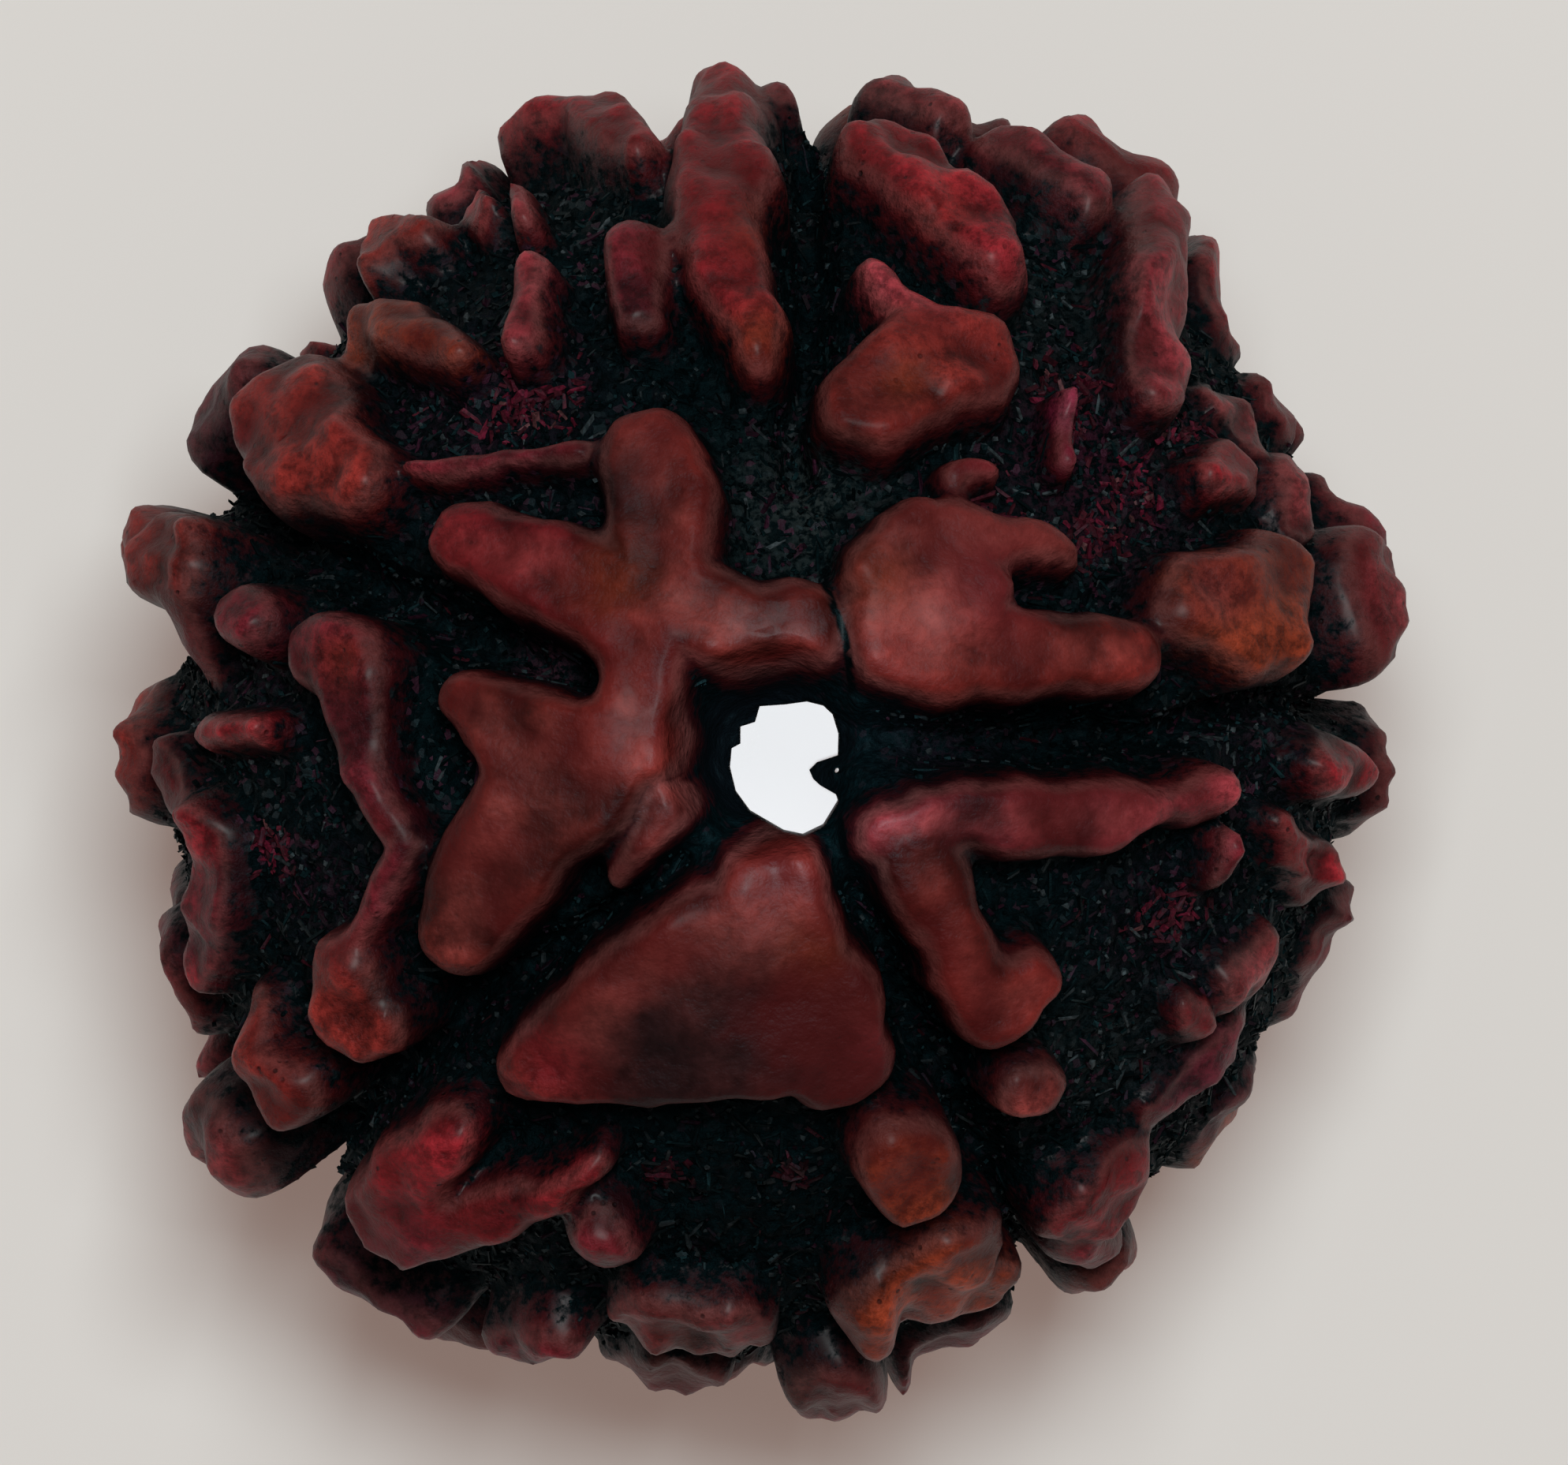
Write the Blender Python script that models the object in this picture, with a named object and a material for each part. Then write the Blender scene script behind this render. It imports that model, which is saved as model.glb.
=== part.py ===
"""Rudraksha bead: a dried five-groove seed stone lying flat, its thread hole upright.

The bead is one grown piece. Its stone is a slightly flattened ball; a net of
smooth pads, ridges and round knobs is raised from it by a formula, five grooves
run from pole to pole, and a thread hole goes through from top to bottom.
Points of the net are written in millimetres from the hole's axis, as seen from
above, each with the half width of the ridge there.
"""

import math
import random

import bpy
import numpy as np
from mathutils import Vector, noise

MM = 0.001

# The stone without its net, and where its middle lies from the hole's axis
STONE_LONG_RADIUS = 10.25
STONE_SHORT_RADIUS = 9.7
STONE_HALF_HEIGHT = 8.3
STONE_TURN = 66.0
STONE_CENTRE = (-0.42, 0.42)

# The net: how far a broad pad stands up, and how a slim ridge stays lower. The
# points are laid on a ball at the net's own level. A ridge's foot is a little wider
# than the half width read from above, and its shoulder rolls over to a flat top.
PAD_HEIGHT = 1.65
SLIM_WIDTH = 0.22
SLIMMEST = 0.3
FOOT = 1.24
SHOULDER = 0.55
SHOULDER_ROLL = 2.4
SHOULDER_RISE = 0.55
NET_LEVEL = 0.75

# Wavering edges and a slightly uneven skin: how far, and over what length
WAVER = 0.16
WAVER_SIZE = 1.1
WAVER_SHIFT = 20.0
GRAIN = 0.07
GRAIN_SIZE = 0.7
GRAIN_SHIFT = 50.0

# The thread hole: a straight shaft, and a funnel at each mouth, off to one side
HOLE_RADIUS = 1.02
MOUTH_RADIUS = 1.75
MOUTH_DEPTH = 2.6
MOUTH_CURVE = 3.0
UPPER_MOUTH = (-0.25, 0.3)
LOWER_MOUTH = (0.15, -0.1)

# The grooves: how deep they cut below the valleys, how they waver down the sides,
# and the lips along them. Azimuths and latitudes are in degrees.
GROOVE_DEPTH = 1.0
GROOVE_WIDTH = 0.5
GROOVE_AZIMUTHS = (3.0, 85.0, 155.0, 222.0, 297.0)
GROOVE_LATITUDES = range(16, -77, -6)
GROOVE_WAVER = 2.5
GROOVE_WAVE = 0.11
GROOVE_CLEARING = 0.5
LIP_DISTANCE = 1.35
LIP_LOW_LATITUDE = -40.0

# The lower face repeats the upper sectors, each this many places on
SECTORS_ON = 2
SECTOR_OVERHANG = 30.0
RIDGE_GAP = 0.1

# Round the rim the net stands up only as far as the outline asks
FULL_LIFT = 1.25
LEAST_SHARE = 0.3
MOST_SHARE = 1.2
RIM_LATITUDE = 24.0
RIM_FADE = 16.0
RIM_PEAK = 3.5

# Knobs that fill the waist and the low sides: how many tries, and how close they lie
KNOB_TRIES = 16000
WIDEST_KNOB = 1.15
SLIMMEST_KNOB = 0.62
KNOB_GAP = 0.12
KNOB_TOP_LATITUDE = 6.0
KNOB_LOW_LATITUDE = -62.0
KNOB_LEAN = 7.0
KNOB_TAPER = 0.85

# The small flat spots that the bead rests on, cut this far above its lowest point
FLAT_CUT = 0.3

# Fineness of the skin
BALL_SUBDIVISIONS = 7
SOFTEN_TURNS = 3
SKIN_KEEP = 0.095
SEED = 5

# Upper face, right of the upper groove: forked pad, then knobs out to the rim
SECTOR_A = [
    [(1.7, 2.4, 0.75), (2.4, 3.1, 1.25), (2.9, 3.8, 0.7), (3.9, 3.85, 0.45), (4.7, 3.6, 0.3)],
    [(1.9, 2.05, 0.8), (4.0, 1.95, 0.75), (5.7, 1.95, 0.65)],
    [(6.8, 2.75, 0.8), (7.7, 2.6, 1.1), (8.2, 3.3, 0.75)],
    [(9.6, 3.2, 0.85), (9.7, 2.3, 0.8)],
    [(8.75, 5.0, 0.55), (8.8, 4.4, 0.5)],
    [(7.1, 4.9, 0.4), (7.8, 5.15, 0.6)],
    [(7.6, 6.4, 0.45), (8.0, 6.2, 0.55), (8.15, 5.8, 0.45)],
    [(6.0, 9.1, 0.65), (6.2, 8.1, 0.75), (6.3, 7.1, 0.75), (6.3, 6.5, 0.65)],
    [(5.0, 10.2, 0.75), (5.7, 9.9, 0.85)],
    [(3.5, 10.4, 0.45), (4.3, 9.9, 0.5), (5.0, 9.4, 0.5)],
    [(1.8, 11.1, 0.65), (2.6, 10.8, 0.6)],
    [(1.7, 10.1, 0.8), (2.4, 9.6, 0.9), (3.1, 8.9, 0.75), (3.6, 8.2, 0.45)],
    [(1.5, 8.2, 0.38), (1.8, 7.7, 0.45), (2.3, 7.3, 0.5)],
    [(1.5, 6.1, 0.85), (2.3, 6.7, 0.95), (3.1, 6.8, 0.8)],
    [(2.8, 4.8, 0.3), (3.4, 5.1, 0.2)],
    [(4.75, 5.2, 0.22), (4.75, 6.2, 0.22)],
]

# Upper face, right of the lower groove: long arm with a hook
SECTOR_B = [
    [(1.5, -1.1, 0.5), (2.4, -0.8, 0.65), (4.0, -0.8, 0.68), (5.4, -0.75, 0.62),
     (6.3, -0.6, 0.4), (7.05, -0.35, 0.5)],
    [(2.2, -1.5, 0.75), (2.65, -2.5, 0.6), (3.05, -3.4, 0.62), (3.55, -3.8, 0.75),
     (4.0, -3.5, 0.6)],
    [(9.2, 0.05, 0.55), (9.8, 0.0, 0.5)],
    [(8.5, -0.9, 0.3), (8.8, -1.4, 0.4), (9.25, -1.75, 0.6)],
    [(7.7, -3.7, 0.5), (8.2, -3.5, 0.7)],
    [(7.4, -1.2, 0.28), (7.3, -1.8, 0.3)],
    [(6.8, -4.0, 0.3), (7.2, -4.5, 0.38)],
    [(7.9, -4.7, 0.5), (7.2, -5.4, 0.5), (6.6, -6.0, 0.5)],
    [(3.9, -5.35, 0.5), (4.3, -5.3, 0.5)],
    [(5.2, -7.4, 0.9), (5.6, -7.1, 0.85)],
    [(5.4, -8.2, 0.5), (4.9, -8.1, 0.5)],
]

# Upper face, left of the lower groove: the big three-cornered pad
SECTOR_C = [
    [(-0.2, -1.9, 0.85), (-0.2, -3.0, 1.15), (-0.6, -4.0, 1.4), (-2.6, -4.6, 0.95),
     (-4.2, -4.9, 0.6)],
    [(-0.3, -3.2, 1.1), (0.3, -4.0, 1.2), (0.9, -4.8, 0.85)],
    [(-0.9, -2.7, 0.9), (-2.2, -3.8, 1.1), (-3.9, -4.75, 0.75)],
    [(1.9, -6.35, 0.8), (2.1, -6.7, 0.8)],
    [(2.8, -8.2, 0.95), (1.85, -8.8, 1.0), (3.1, -8.9, 0.9)],
    [(0.8, -10.15, 0.8), (0.85, -10.3, 0.75)],
    [(-2.1, -9.4, 0.85), (-1.2, -9.5, 0.95)],
    [(-4.6, -9.6, 0.6), (-3.9, -9.6, 0.6)],
    [(-3.1, -7.7, 0.6), (-2.95, -7.9, 0.55)],
    [(-5.4, -6.0, 0.5), (-6.1, -6.7, 0.75), (-6.3, -7.2, 0.9), (-5.3, -7.5, 0.6),
     (-4.3, -7.2, 0.45), (-3.2, -6.6, 0.3)],
    [(-7.4, -8.2, 0.5), (-6.7, -8.7, 0.5), (-5.9, -9.1, 0.5)],
]

# Upper face, left: pad with two arms turned outward, and the knobs of the left rim
SECTOR_D = [
    [(-2.4, 0.5, 0.8), (-3.5, 0.1, 1.05), (-4.3, 0.4, 0.9), (-5.3, 1.15, 0.5)],
    [(-3.4, 0.0, 1.1), (-4.1, -0.7, 1.05), (-4.8, -1.6, 0.95), (-5.4, -2.6, 0.78)],
    [(-7.7, 2.05, 0.65), (-7.2, 1.8, 0.7), (-7.15, 1.0, 0.6), (-7.0, 0.1, 0.5),
     (-6.5, -0.9, 0.4)],
    [(-7.25, -3.4, 0.65), (-7.1, -4.0, 0.8), (-6.7, -4.2, 0.55)],
    [(-7.2, -3.0, 0.35), (-6.8, -2.2, 0.34), (-6.3, -1.2, 0.34)],
    [(-8.95, 2.55, 0.6), (-8.75, 2.45, 0.55)],
    [(-10.5, 3.6, 0.75), (-9.8, 3.3, 0.75)],
    [(-10.0, 2.6, 0.5), (-10.1, 1.9, 0.4)],
    [(-9.9, 0.6, 0.34), (-8.8, 0.6, 0.34)],
    [(-10.6, 0.0, 0.55), (-10.3, -0.7, 0.5)],
    [(-9.9, -1.2, 0.7), (-9.85, -2.2, 0.7), (-9.95, -3.5, 0.55)],
    [(-8.95, -4.1, 0.45), (-8.6, -4.8, 0.6), (-8.2, -5.2, 0.75)],
    [(-9.1, -6.0, 1.0), (-9.0, -6.1, 0.95)],
    [(-1.9, -0.65, 0.5), (-2.2, -1.1, 0.42), (-2.8, -1.8, 0.22)],
]

# Upper face, upper left: forked pad joined to the left pad by a bridge
SECTOR_E = [
    [(-2.2, 5.1, 0.9), (-2.05, 4.2, 0.9), (-2.0, 3.2, 0.85)],
    [(-1.9, 2.8, 0.85), (-0.8, 2.35, 0.75), (0.35, 2.35, 0.68)],
    [(-5.3, 3.85, 0.65), (-4.4, 3.5, 0.78), (-3.2, 3.0, 0.82), (-2.4, 2.5, 0.85)],
    [(-2.3, 2.4, 0.75), (-2.35, 1.5, 0.68), (-2.4, 0.7, 0.75)],
    [(-6.2, 5.0, 0.22), (-4.6, 5.25, 0.2), (-3.4, 5.3, 0.25)],
    [(-8.1, 5.9, 1.1), (-7.9, 5.2, 1.0), (-7.1, 4.8, 0.7)],
    [(-8.9, 6.5, 0.65), (-9.5, 5.7, 0.65)],
    [(-7.3, 7.4, 0.55), (-6.6, 7.5, 0.5), (-6.0, 7.2, 0.5), (-5.5, 6.9, 0.35)],
    [(-6.8, 8.5, 0.5), (-6.6, 8.9, 0.6), (-6.1, 9.0, 0.5)],
    [(-5.3, 9.6, 0.4), (-5.1, 9.4, 0.35)],
    [(-4.3, 10.7, 0.5), (-3.2, 10.8, 0.65), (-2.4, 10.4, 0.5)],
    [(-0.9, 11.4, 0.6), (-1.0, 10.5, 0.65), (-1.0, 9.8, 0.9), (-1.15, 9.1, 0.75),
     (-0.9, 8.3, 0.65), (-0.5, 7.5, 0.55), (-0.4, 6.9, 0.45)],
    [(-0.1, 11.4, 0.35), (-0.1, 11.2, 0.35)],
    [(-2.4, 8.7, 0.55), (-2.35, 7.6, 0.5)],
    [(-4.25, 8.3, 0.35), (-4.35, 7.2, 0.45)],
    [(-4.4, 9.6, 0.2), (-4.35, 9.1, 0.2)],
]

SECTORS = [SECTOR_A, SECTOR_E, SECTOR_D, SECTOR_C, SECTOR_B]

# Grooves of the upper face, from the hole's mouth out to the rim
UPPER_GROOVES = [
    [(1.2, 0.5, 0.4), (3.0, 0.5, 0.5), (5.0, 0.55, 0.5), (6.5, 0.6, 0.4), (8.4, 1.1, 0.35),
     (9.9, 1.2, 0.3)],
    [(0.3, 5.2, 0.35), (0.35, 6.5, 0.45), (0.4, 8.0, 0.5), (0.45, 9.5, 0.45),
     (0.5, 11.0, 0.4)],
    [(-3.2, 1.6, 0.3), (-4.6, 2.0, 0.5), (-6.0, 2.6, 0.6), (-7.6, 3.4, 0.5),
     (-9.4, 4.4, 0.45)],
    [(-5.2, -3.7, 0.45), (-6.6, -5.0, 0.5), (-8.0, -6.5, 0.4)],
    [(1.4, -2.2, 0.3), (1.8, -3.2, 0.5), (2.4, -4.6, 0.6), (3.1, -6.4, 0.65),
     (3.9, -7.8, 0.55), (4.3, -9.0, 0.5)],
    [(-2.5, -0.9, 0.2), (-3.5, -1.9, 0.26), (-5.0, -3.3, 0.32)],
    [(-1.7, -1.8, 0.2), (-3.2, -2.7, 0.26), (-5.0, -3.9, 0.32)],
]

# The bead's outline as seen from above, knob by knob round the rim
OUTLINE = [
    (10.4, 2.1), (10.4, 3.2), (10.0, 3.8), (9.1, 4.0), (9.25, 5.0), (8.45, 5.6), (8.2, 6.5),
    (7.2, 7.0), (7.0, 8.0), (6.6, 9.0), (6.4, 10.0), (5.2, 10.85), (3.3, 10.8), (1.9, 11.7),
    (1.3, 11.6), (0.6, 10.7), (0.0, 11.6), (-0.9, 11.8), (-1.3, 11.6), (-2.0, 10.8),
    (-3.3, 11.3), (-4.7, 11.0), (-4.8, 9.9), (-6.1, 9.45), (-6.9, 9.3), (-7.25, 8.6),
    (-7.2, 7.8), (-8.1, 6.85), (-8.8, 7.1), (-9.6, 6.5), (-10.1, 5.5), (-9.85, 5.0),
    (-9.9, 4.3), (-10.8, 4.2), (-11.2, 3.7), (-10.3, 2.4), (-10.1, 1.5), (-10.6, 0.9),
    (-11.15, -0.1), (-10.6, -1.0), (-10.5, -2.6), (-10.2, -4.0), (-9.3, -4.5), (-9.7, -5.2),
    (-9.9, -6.0), (-9.3, -7.0), (-8.1, -7.1), (-7.9, -7.9), (-7.6, -8.8), (-6.0, -9.6),
    (-5.3, -9.5), (-4.3, -10.2), (-3.0, -9.6), (-1.6, -10.45), (-0.1, -9.8), (0.1, -10.4),
    (0.8, -11.0), (1.4, -10.7), (1.6, -9.8), (3.2, -9.65), (4.3, -8.8), (5.2, -8.75),
    (6.4, -7.2), (6.3, -6.6), (6.9, -6.1), (7.9, -5.1), (8.85, -3.3), (8.8, -2.4),
    (9.8, -2.0), (9.25, -1.0), (10.3, 0.0), (9.7, 1.4),
]

STONE_RADII = np.array([STONE_LONG_RADIUS, STONE_SHORT_RADIUS, STONE_HALF_HEIGHT])
NET_RADII = STONE_RADII + NET_LEVEL

# Turns a place from the stone's own axes, the longer one first, to the bead's
TURN = math.radians(STONE_TURN)
STONE_AXES = np.array([
    [math.cos(TURN), math.sin(TURN), 0.0],
    [-math.sin(TURN), math.cos(TURN), 0.0],
    [0.0, 0.0, 1.0],
])


def clear_scene():
    """Removes whatever the scene holds."""
    for item in list(bpy.data.objects):
        bpy.data.objects.remove(item, do_unlink=True)


def make_collection(name):
    """Makes a named collection in the scene."""
    collection = bpy.data.collections.new(name)
    bpy.context.scene.collection.children.link(collection)
    return collection


def move_to(item, collection):
    """Puts an object in one collection only."""
    for old in list(item.users_collection):
        old.objects.unlink(item)
    collection.objects.link(item)


def on_upper_net(point):
    """Lifts a point seen from above onto the upper half of the net's ball."""
    x, y, width = point
    flat = np.array([x - STONE_CENTRE[0], y - STONE_CENTRE[1], 0.0])
    unit = (STONE_AXES @ flat) / NET_RADII
    reach = math.hypot(unit[0], unit[1])
    unit = unit / max(reach, 1.0)
    unit[2] = math.sqrt(max(0.0, 1.0 - min(reach, 1.0) ** 2))
    return (unit * NET_RADII) @ STONE_AXES, max(FOOT * width, SLIMMEST)


def on_net(azimuth, latitude, width):
    """A point of the net's ball from its azimuth and latitude in degrees."""
    turn = math.radians(azimuth - STONE_TURN)
    rise = math.radians(latitude)
    level = math.cos(rise)
    unit = np.array([level * math.cos(turn), level * math.sin(turn), math.sin(rise)])
    return (unit * NET_RADII) @ STONE_AXES, width


def upper_ridges():
    """The net of the upper face, as seen from above."""
    return [[on_upper_net(point) for point in ridge] for sector in SECTORS for ridge in sector]


def azimuth_and_latitude(place):
    """Azimuth and latitude in degrees of a point of the net's ball."""
    unit = (STONE_AXES @ place) / NET_RADII
    unit = unit / np.linalg.norm(unit)
    azimuth = math.degrees(math.atan2(unit[1], unit[0])) + STONE_TURN
    return azimuth % 360.0, math.degrees(math.asin(unit[2]))


def sector_span(index):
    """First azimuth and width in degrees of the sector between two grooves."""
    start = GROOVE_AZIMUTHS[index]
    end = GROOVE_AZIMUTHS[(index + 1) % len(GROOVE_AZIMUTHS)]
    return start, (end - start) % 360.0


def turned_below(ridge, source, target):
    """A ridge of one upper sector, laid into another sector of the lower face."""
    source_start, source_width = sector_span(source)
    target_start, target_width = sector_span(target)
    turned = []
    for place, width in ridge:
        azimuth, latitude = azimuth_and_latitude(place)
        offset = (azimuth - source_start + SECTOR_OVERHANG) % 360.0 - SECTOR_OVERHANG
        azimuth = target_start + offset * target_width / source_width
        turned.append(on_net(azimuth, -latitude, width))
    return turned


class Crowd:
    """All the points of the net laid so far, to find how much room is left."""

    def __init__(self, ridges):
        self.places = np.array([place for ridge in ridges for place, width in ridge])
        self.widths = np.array([width for ridge in ridges for place, width in ridge])

    def gap(self, ridge):
        """Smallest free distance between a ridge and all the others."""
        gaps = [np.linalg.norm(self.places - place, axis=1) - self.widths - width
                for place, width in ridge]
        return float(np.min(gaps))

    def add(self, ridge):
        """Takes one more ridge in."""
        self.places = np.vstack([self.places] + [place for place, width in ridge])
        self.widths = np.append(self.widths, [width for place, width in ridge])


def lower_ridges(crowd):
    """The net of the lower face: the upper sectors two places on, where there is room."""
    lower = []
    for source, sector in enumerate(SECTORS):
        target = (source + SECTORS_ON) % len(SECTORS)
        for ridge in sector:
            lifted = [on_upper_net(point) for point in ridge]
            turned = turned_below(lifted, source, target)
            if crowd.gap(turned) > RIDGE_GAP:
                lower.append(turned)
    for ridge in lower:
        crowd.add(ridge)
    return lower


def groove_azimuth(azimuth, latitude):
    """Azimuth of a groove at a latitude, as it wavers on its way under the bead."""
    waver = GROOVE_WAVER * math.sin(GROOVE_WAVE * latitude + azimuth)
    return azimuth + waver / math.cos(math.radians(latitude))


def groove_lines():
    """Grooves of the upper face, then the same five run on under the bead."""
    lines = [[on_upper_net(point) for point in groove] for groove in UPPER_GROOVES]
    for azimuth in GROOVE_AZIMUTHS:
        line = [on_net(groove_azimuth(azimuth, latitude), latitude, GROOVE_WIDTH)
                for latitude in GROOVE_LATITUDES]
        lines.append(line)
    return lines


def lip_ridges(crowd, draw):
    """Broken, lumpy ridges stand on both sides of each groove down the sides."""
    lips = []
    for azimuth in GROOVE_AZIMUTHS:
        for side in (-1.0, 1.0):
            latitude = draw.uniform(10.0, 20.0)
            while latitude > LIP_LOW_LATITUDE:
                length = draw.choice((1, 1, 2, 3))
                ridge = []
                for _ in range(length + 1):
                    width = draw.uniform(0.55, 0.9)
                    reach = math.cos(math.radians(latitude)) * NET_RADII[0]
                    aside = math.degrees(LIP_DISTANCE / reach)
                    middle = groove_azimuth(azimuth, latitude)
                    ridge.append(on_net(middle + side * aside, latitude, width))
                    latitude -= draw.uniform(5.0, 8.0)
                latitude -= draw.uniform(3.0, 6.0)
                if crowd.gap(ridge) > RIDGE_GAP:
                    lips.append(ridge)
                    crowd.add(ridge)
    return lips


def waist_knobs(crowd, grooves, draw):
    """Knobs and short ridges fill the free places round the waist and low on the sides."""
    knobs = []
    groove_crowd = Crowd(grooves)
    for number in range(KNOB_TRIES):
        azimuth = draw.uniform(0.0, 360.0)
        latitude = draw.uniform(KNOB_LOW_LATITUDE, KNOB_TOP_LATITUDE)
        width = WIDEST_KNOB - (WIDEST_KNOB - SLIMMEST_KNOB) * number / KNOB_TRIES
        lean = draw.uniform(-KNOB_LEAN, KNOB_LEAN)
        length = draw.uniform(1.0, 12.0)
        knob = [on_net(azimuth, latitude, width),
                on_net(azimuth + lean, latitude - length, KNOB_TAPER * width)]
        if crowd.gap(knob) > KNOB_GAP and groove_crowd.gap(knob) > 0.0:
            knobs.append(knob)
            crowd.add(knob)
    return knobs


def whole_net():
    """Every ridge and knob of the bead, and its grooves."""
    draw = random.Random(SEED)
    ridges = upper_ridges()
    grooves = groove_lines()
    crowd = Crowd(ridges)
    ridges += lower_ridges(crowd)
    ridges += lip_ridges(crowd, draw)
    ridges += waist_knobs(crowd, grooves, draw)
    return ridges, grooves


def along_line(places, line):
    """Distance to a line of points, and the line's half width there, for every place."""
    best = np.full(len(places), 1e9)
    distance = np.full(len(places), 1e9)
    width = np.full(len(places), 0.1)
    for (start, start_width), (end, end_width) in zip(line[:-1], line[1:]):
        step = end - start
        share = np.clip(((places - start) @ step) / max(float(step @ step), 1e-6), 0.0, 1.0)
        away = np.linalg.norm(places - start - share[:, None] * step, axis=1)
        local = start_width + share * (end_width - start_width)
        nearer = away / local < best
        best[nearer] = (away / local)[nearer]
        distance[nearer] = away[nearer]
        width[nearer] = local[nearer]
    return distance, width


def ridge_lift(places, ridges):
    """Height of the net: broad pads are flat on top, slim ridges are round and lower."""
    lift = np.zeros(len(places))
    for ridge in ridges:
        distance, width = along_line(places, ridge)
        shoulder = np.minimum(width, SHOULDER)
        down = 1.0 - np.clip((width - distance) / shoulder, 0.0, 1.0)
        top = PAD_HEIGHT * width / (width + SLIM_WIDTH)
        lift = np.maximum(lift, top * (1.0 - down ** SHOULDER_ROLL) ** SHOULDER_RISE)
    return lift


def rim_share(places):
    """How much of its full height the net keeps round the rim, by the outline."""
    corners = np.array(OUTLINE) - np.array(STONE_CENTRE)
    azimuths = np.degrees(np.arctan2(corners[:, 1], corners[:, 0])) % 360.0
    order = np.argsort(azimuths)
    reaches = np.hypot(corners[:, 0], corners[:, 1])[order]
    place_azimuths = np.degrees(np.arctan2(places[:, 1], places[:, 0]))
    outline = np.max([np.interp((place_azimuths + turn) % 360.0, azimuths[order], reaches,
                                period=360.0) for turn in (-RIM_PEAK, 0.0, RIM_PEAK)], axis=0)

    turns = np.radians(place_azimuths - STONE_TURN)
    stone = 1.0 / np.hypot(np.cos(turns) / STONE_LONG_RADIUS, np.sin(turns) / STONE_SHORT_RADIUS)
    share = np.clip((outline - stone) / FULL_LIFT, LEAST_SHARE, MOST_SHARE)
    heights = np.clip(places[:, 2] / NET_RADII[2], -1.0, 1.0)
    latitudes = np.abs(np.degrees(np.arcsin(heights)))
    near_rim = 1.0 - np.clip((latitudes - RIM_LATITUDE) / RIM_FADE, 0.0, 1.0)
    return 1.0 + (share - 1.0) * near_rim


def groove_sink(places, grooves):
    """Depth of the grooves below the valleys."""
    sink = np.zeros(len(places))
    for groove in grooves:
        distance, width = along_line(places, groove)
        share = np.clip(distance / width, 0.0, 1.0)
        sink = np.maximum(sink, GROOVE_DEPTH * (1.0 - share * share))
    return sink


def mouth_sink(places):
    """Depth of the funnels round both mouths of the thread hole."""
    sink = np.zeros(len(places))
    for mouth, side in ((UPPER_MOUTH, 1.0), (LOWER_MOUTH, -1.0)):
        middle = np.array(mouth) - np.array(STONE_CENTRE)
        away = np.linalg.norm(places[:, :2] - middle, axis=1)
        share = np.clip(away / MOUTH_RADIUS, 0.0, 1.0)
        facing = places[:, 2] * side > 0.0
        funnel = MOUTH_DEPTH * (1.0 - share ** MOUTH_CURVE)
        sink = np.where(facing, np.maximum(sink, funnel), sink)
    return sink


def noise_at(places, size, shift):
    """Smooth noise vectors with features of about the given size."""
    moved = (places + shift) / size
    return np.array([noise.noise_vector(Vector(place)) for place in moved])


def make_stone(collection):
    """The stone with its net: a ball pushed out along its own normals by the formula."""
    bpy.ops.mesh.primitive_ico_sphere_add(subdivisions=BALL_SUBDIVISIONS, radius=1.0)
    bead = bpy.context.active_object
    bead.name = "bead"
    bead.data.name = "bead"
    move_to(bead, collection)

    mesh = bead.data
    units = np.empty(len(mesh.vertices) * 3)
    mesh.vertices.foreach_get("co", units)
    units = units.reshape(-1, 3)
    units /= np.linalg.norm(units, axis=1)[:, None]

    ridges, grooves = whole_net()
    places = (units * NET_RADII) @ STONE_AXES
    places = places + WAVER * noise_at(places, WAVER_SIZE, WAVER_SHIFT)
    lift = ridge_lift(places, ridges) * rim_share(places)
    clear_of_net = 1.0 - np.clip(lift / GROOVE_CLEARING, 0.0, 1.0)
    sink = groove_sink(places, grooves) * clear_of_net + mouth_sink(places)
    grain = GRAIN * noise_at(places, GRAIN_SIZE, GRAIN_SHIFT)[:, 0]

    normals = units / STONE_RADII
    normals /= np.linalg.norm(normals, axis=1)[:, None]
    skin = (units * STONE_RADII + normals * (lift - sink + grain)[:, None]) @ STONE_AXES
    skin[:, 0] += STONE_CENTRE[0]
    skin[:, 1] += STONE_CENTRE[1]
    mesh.vertices.foreach_set("co", (skin * MM).ravel())
    mesh.update()
    return bead


def as_cutter(cutter, name, collection):
    """Names a cutter, hides it from renders and draws it as wire."""
    cutter.name = name
    cutter.hide_render = True
    cutter.display_type = "WIRE"
    move_to(cutter, collection)
    return cutter


def make_hole_shaft(collection):
    """The thread hole's straight shaft, long enough to pass both poles."""
    length = 2.0 * (STONE_HALF_HEIGHT + 2.0 * PAD_HEIGHT) * MM
    bpy.ops.mesh.primitive_cylinder_add(vertices=32, radius=HOLE_RADIUS * MM, depth=length)
    return as_cutter(bpy.context.active_object, "hole_shaft", collection)


def make_table_cutter(collection, top):
    """A block whose upper face cuts the small flat spots that the bead rests on."""
    side = 4.0 * STONE_LONG_RADIUS * MM
    middle = (0.0, 0.0, top - side / 2.0)
    bpy.ops.mesh.primitive_cube_add(size=side, location=middle)
    return as_cutter(bpy.context.active_object, "table_block", collection)


def add_cut(item, name, cutter):
    """Cuts one object by another."""
    cut = item.modifiers.new(name, "BOOLEAN")
    cut.operation = "DIFFERENCE"
    cut.solver = "EXACT"
    cut.object = cutter


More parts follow.
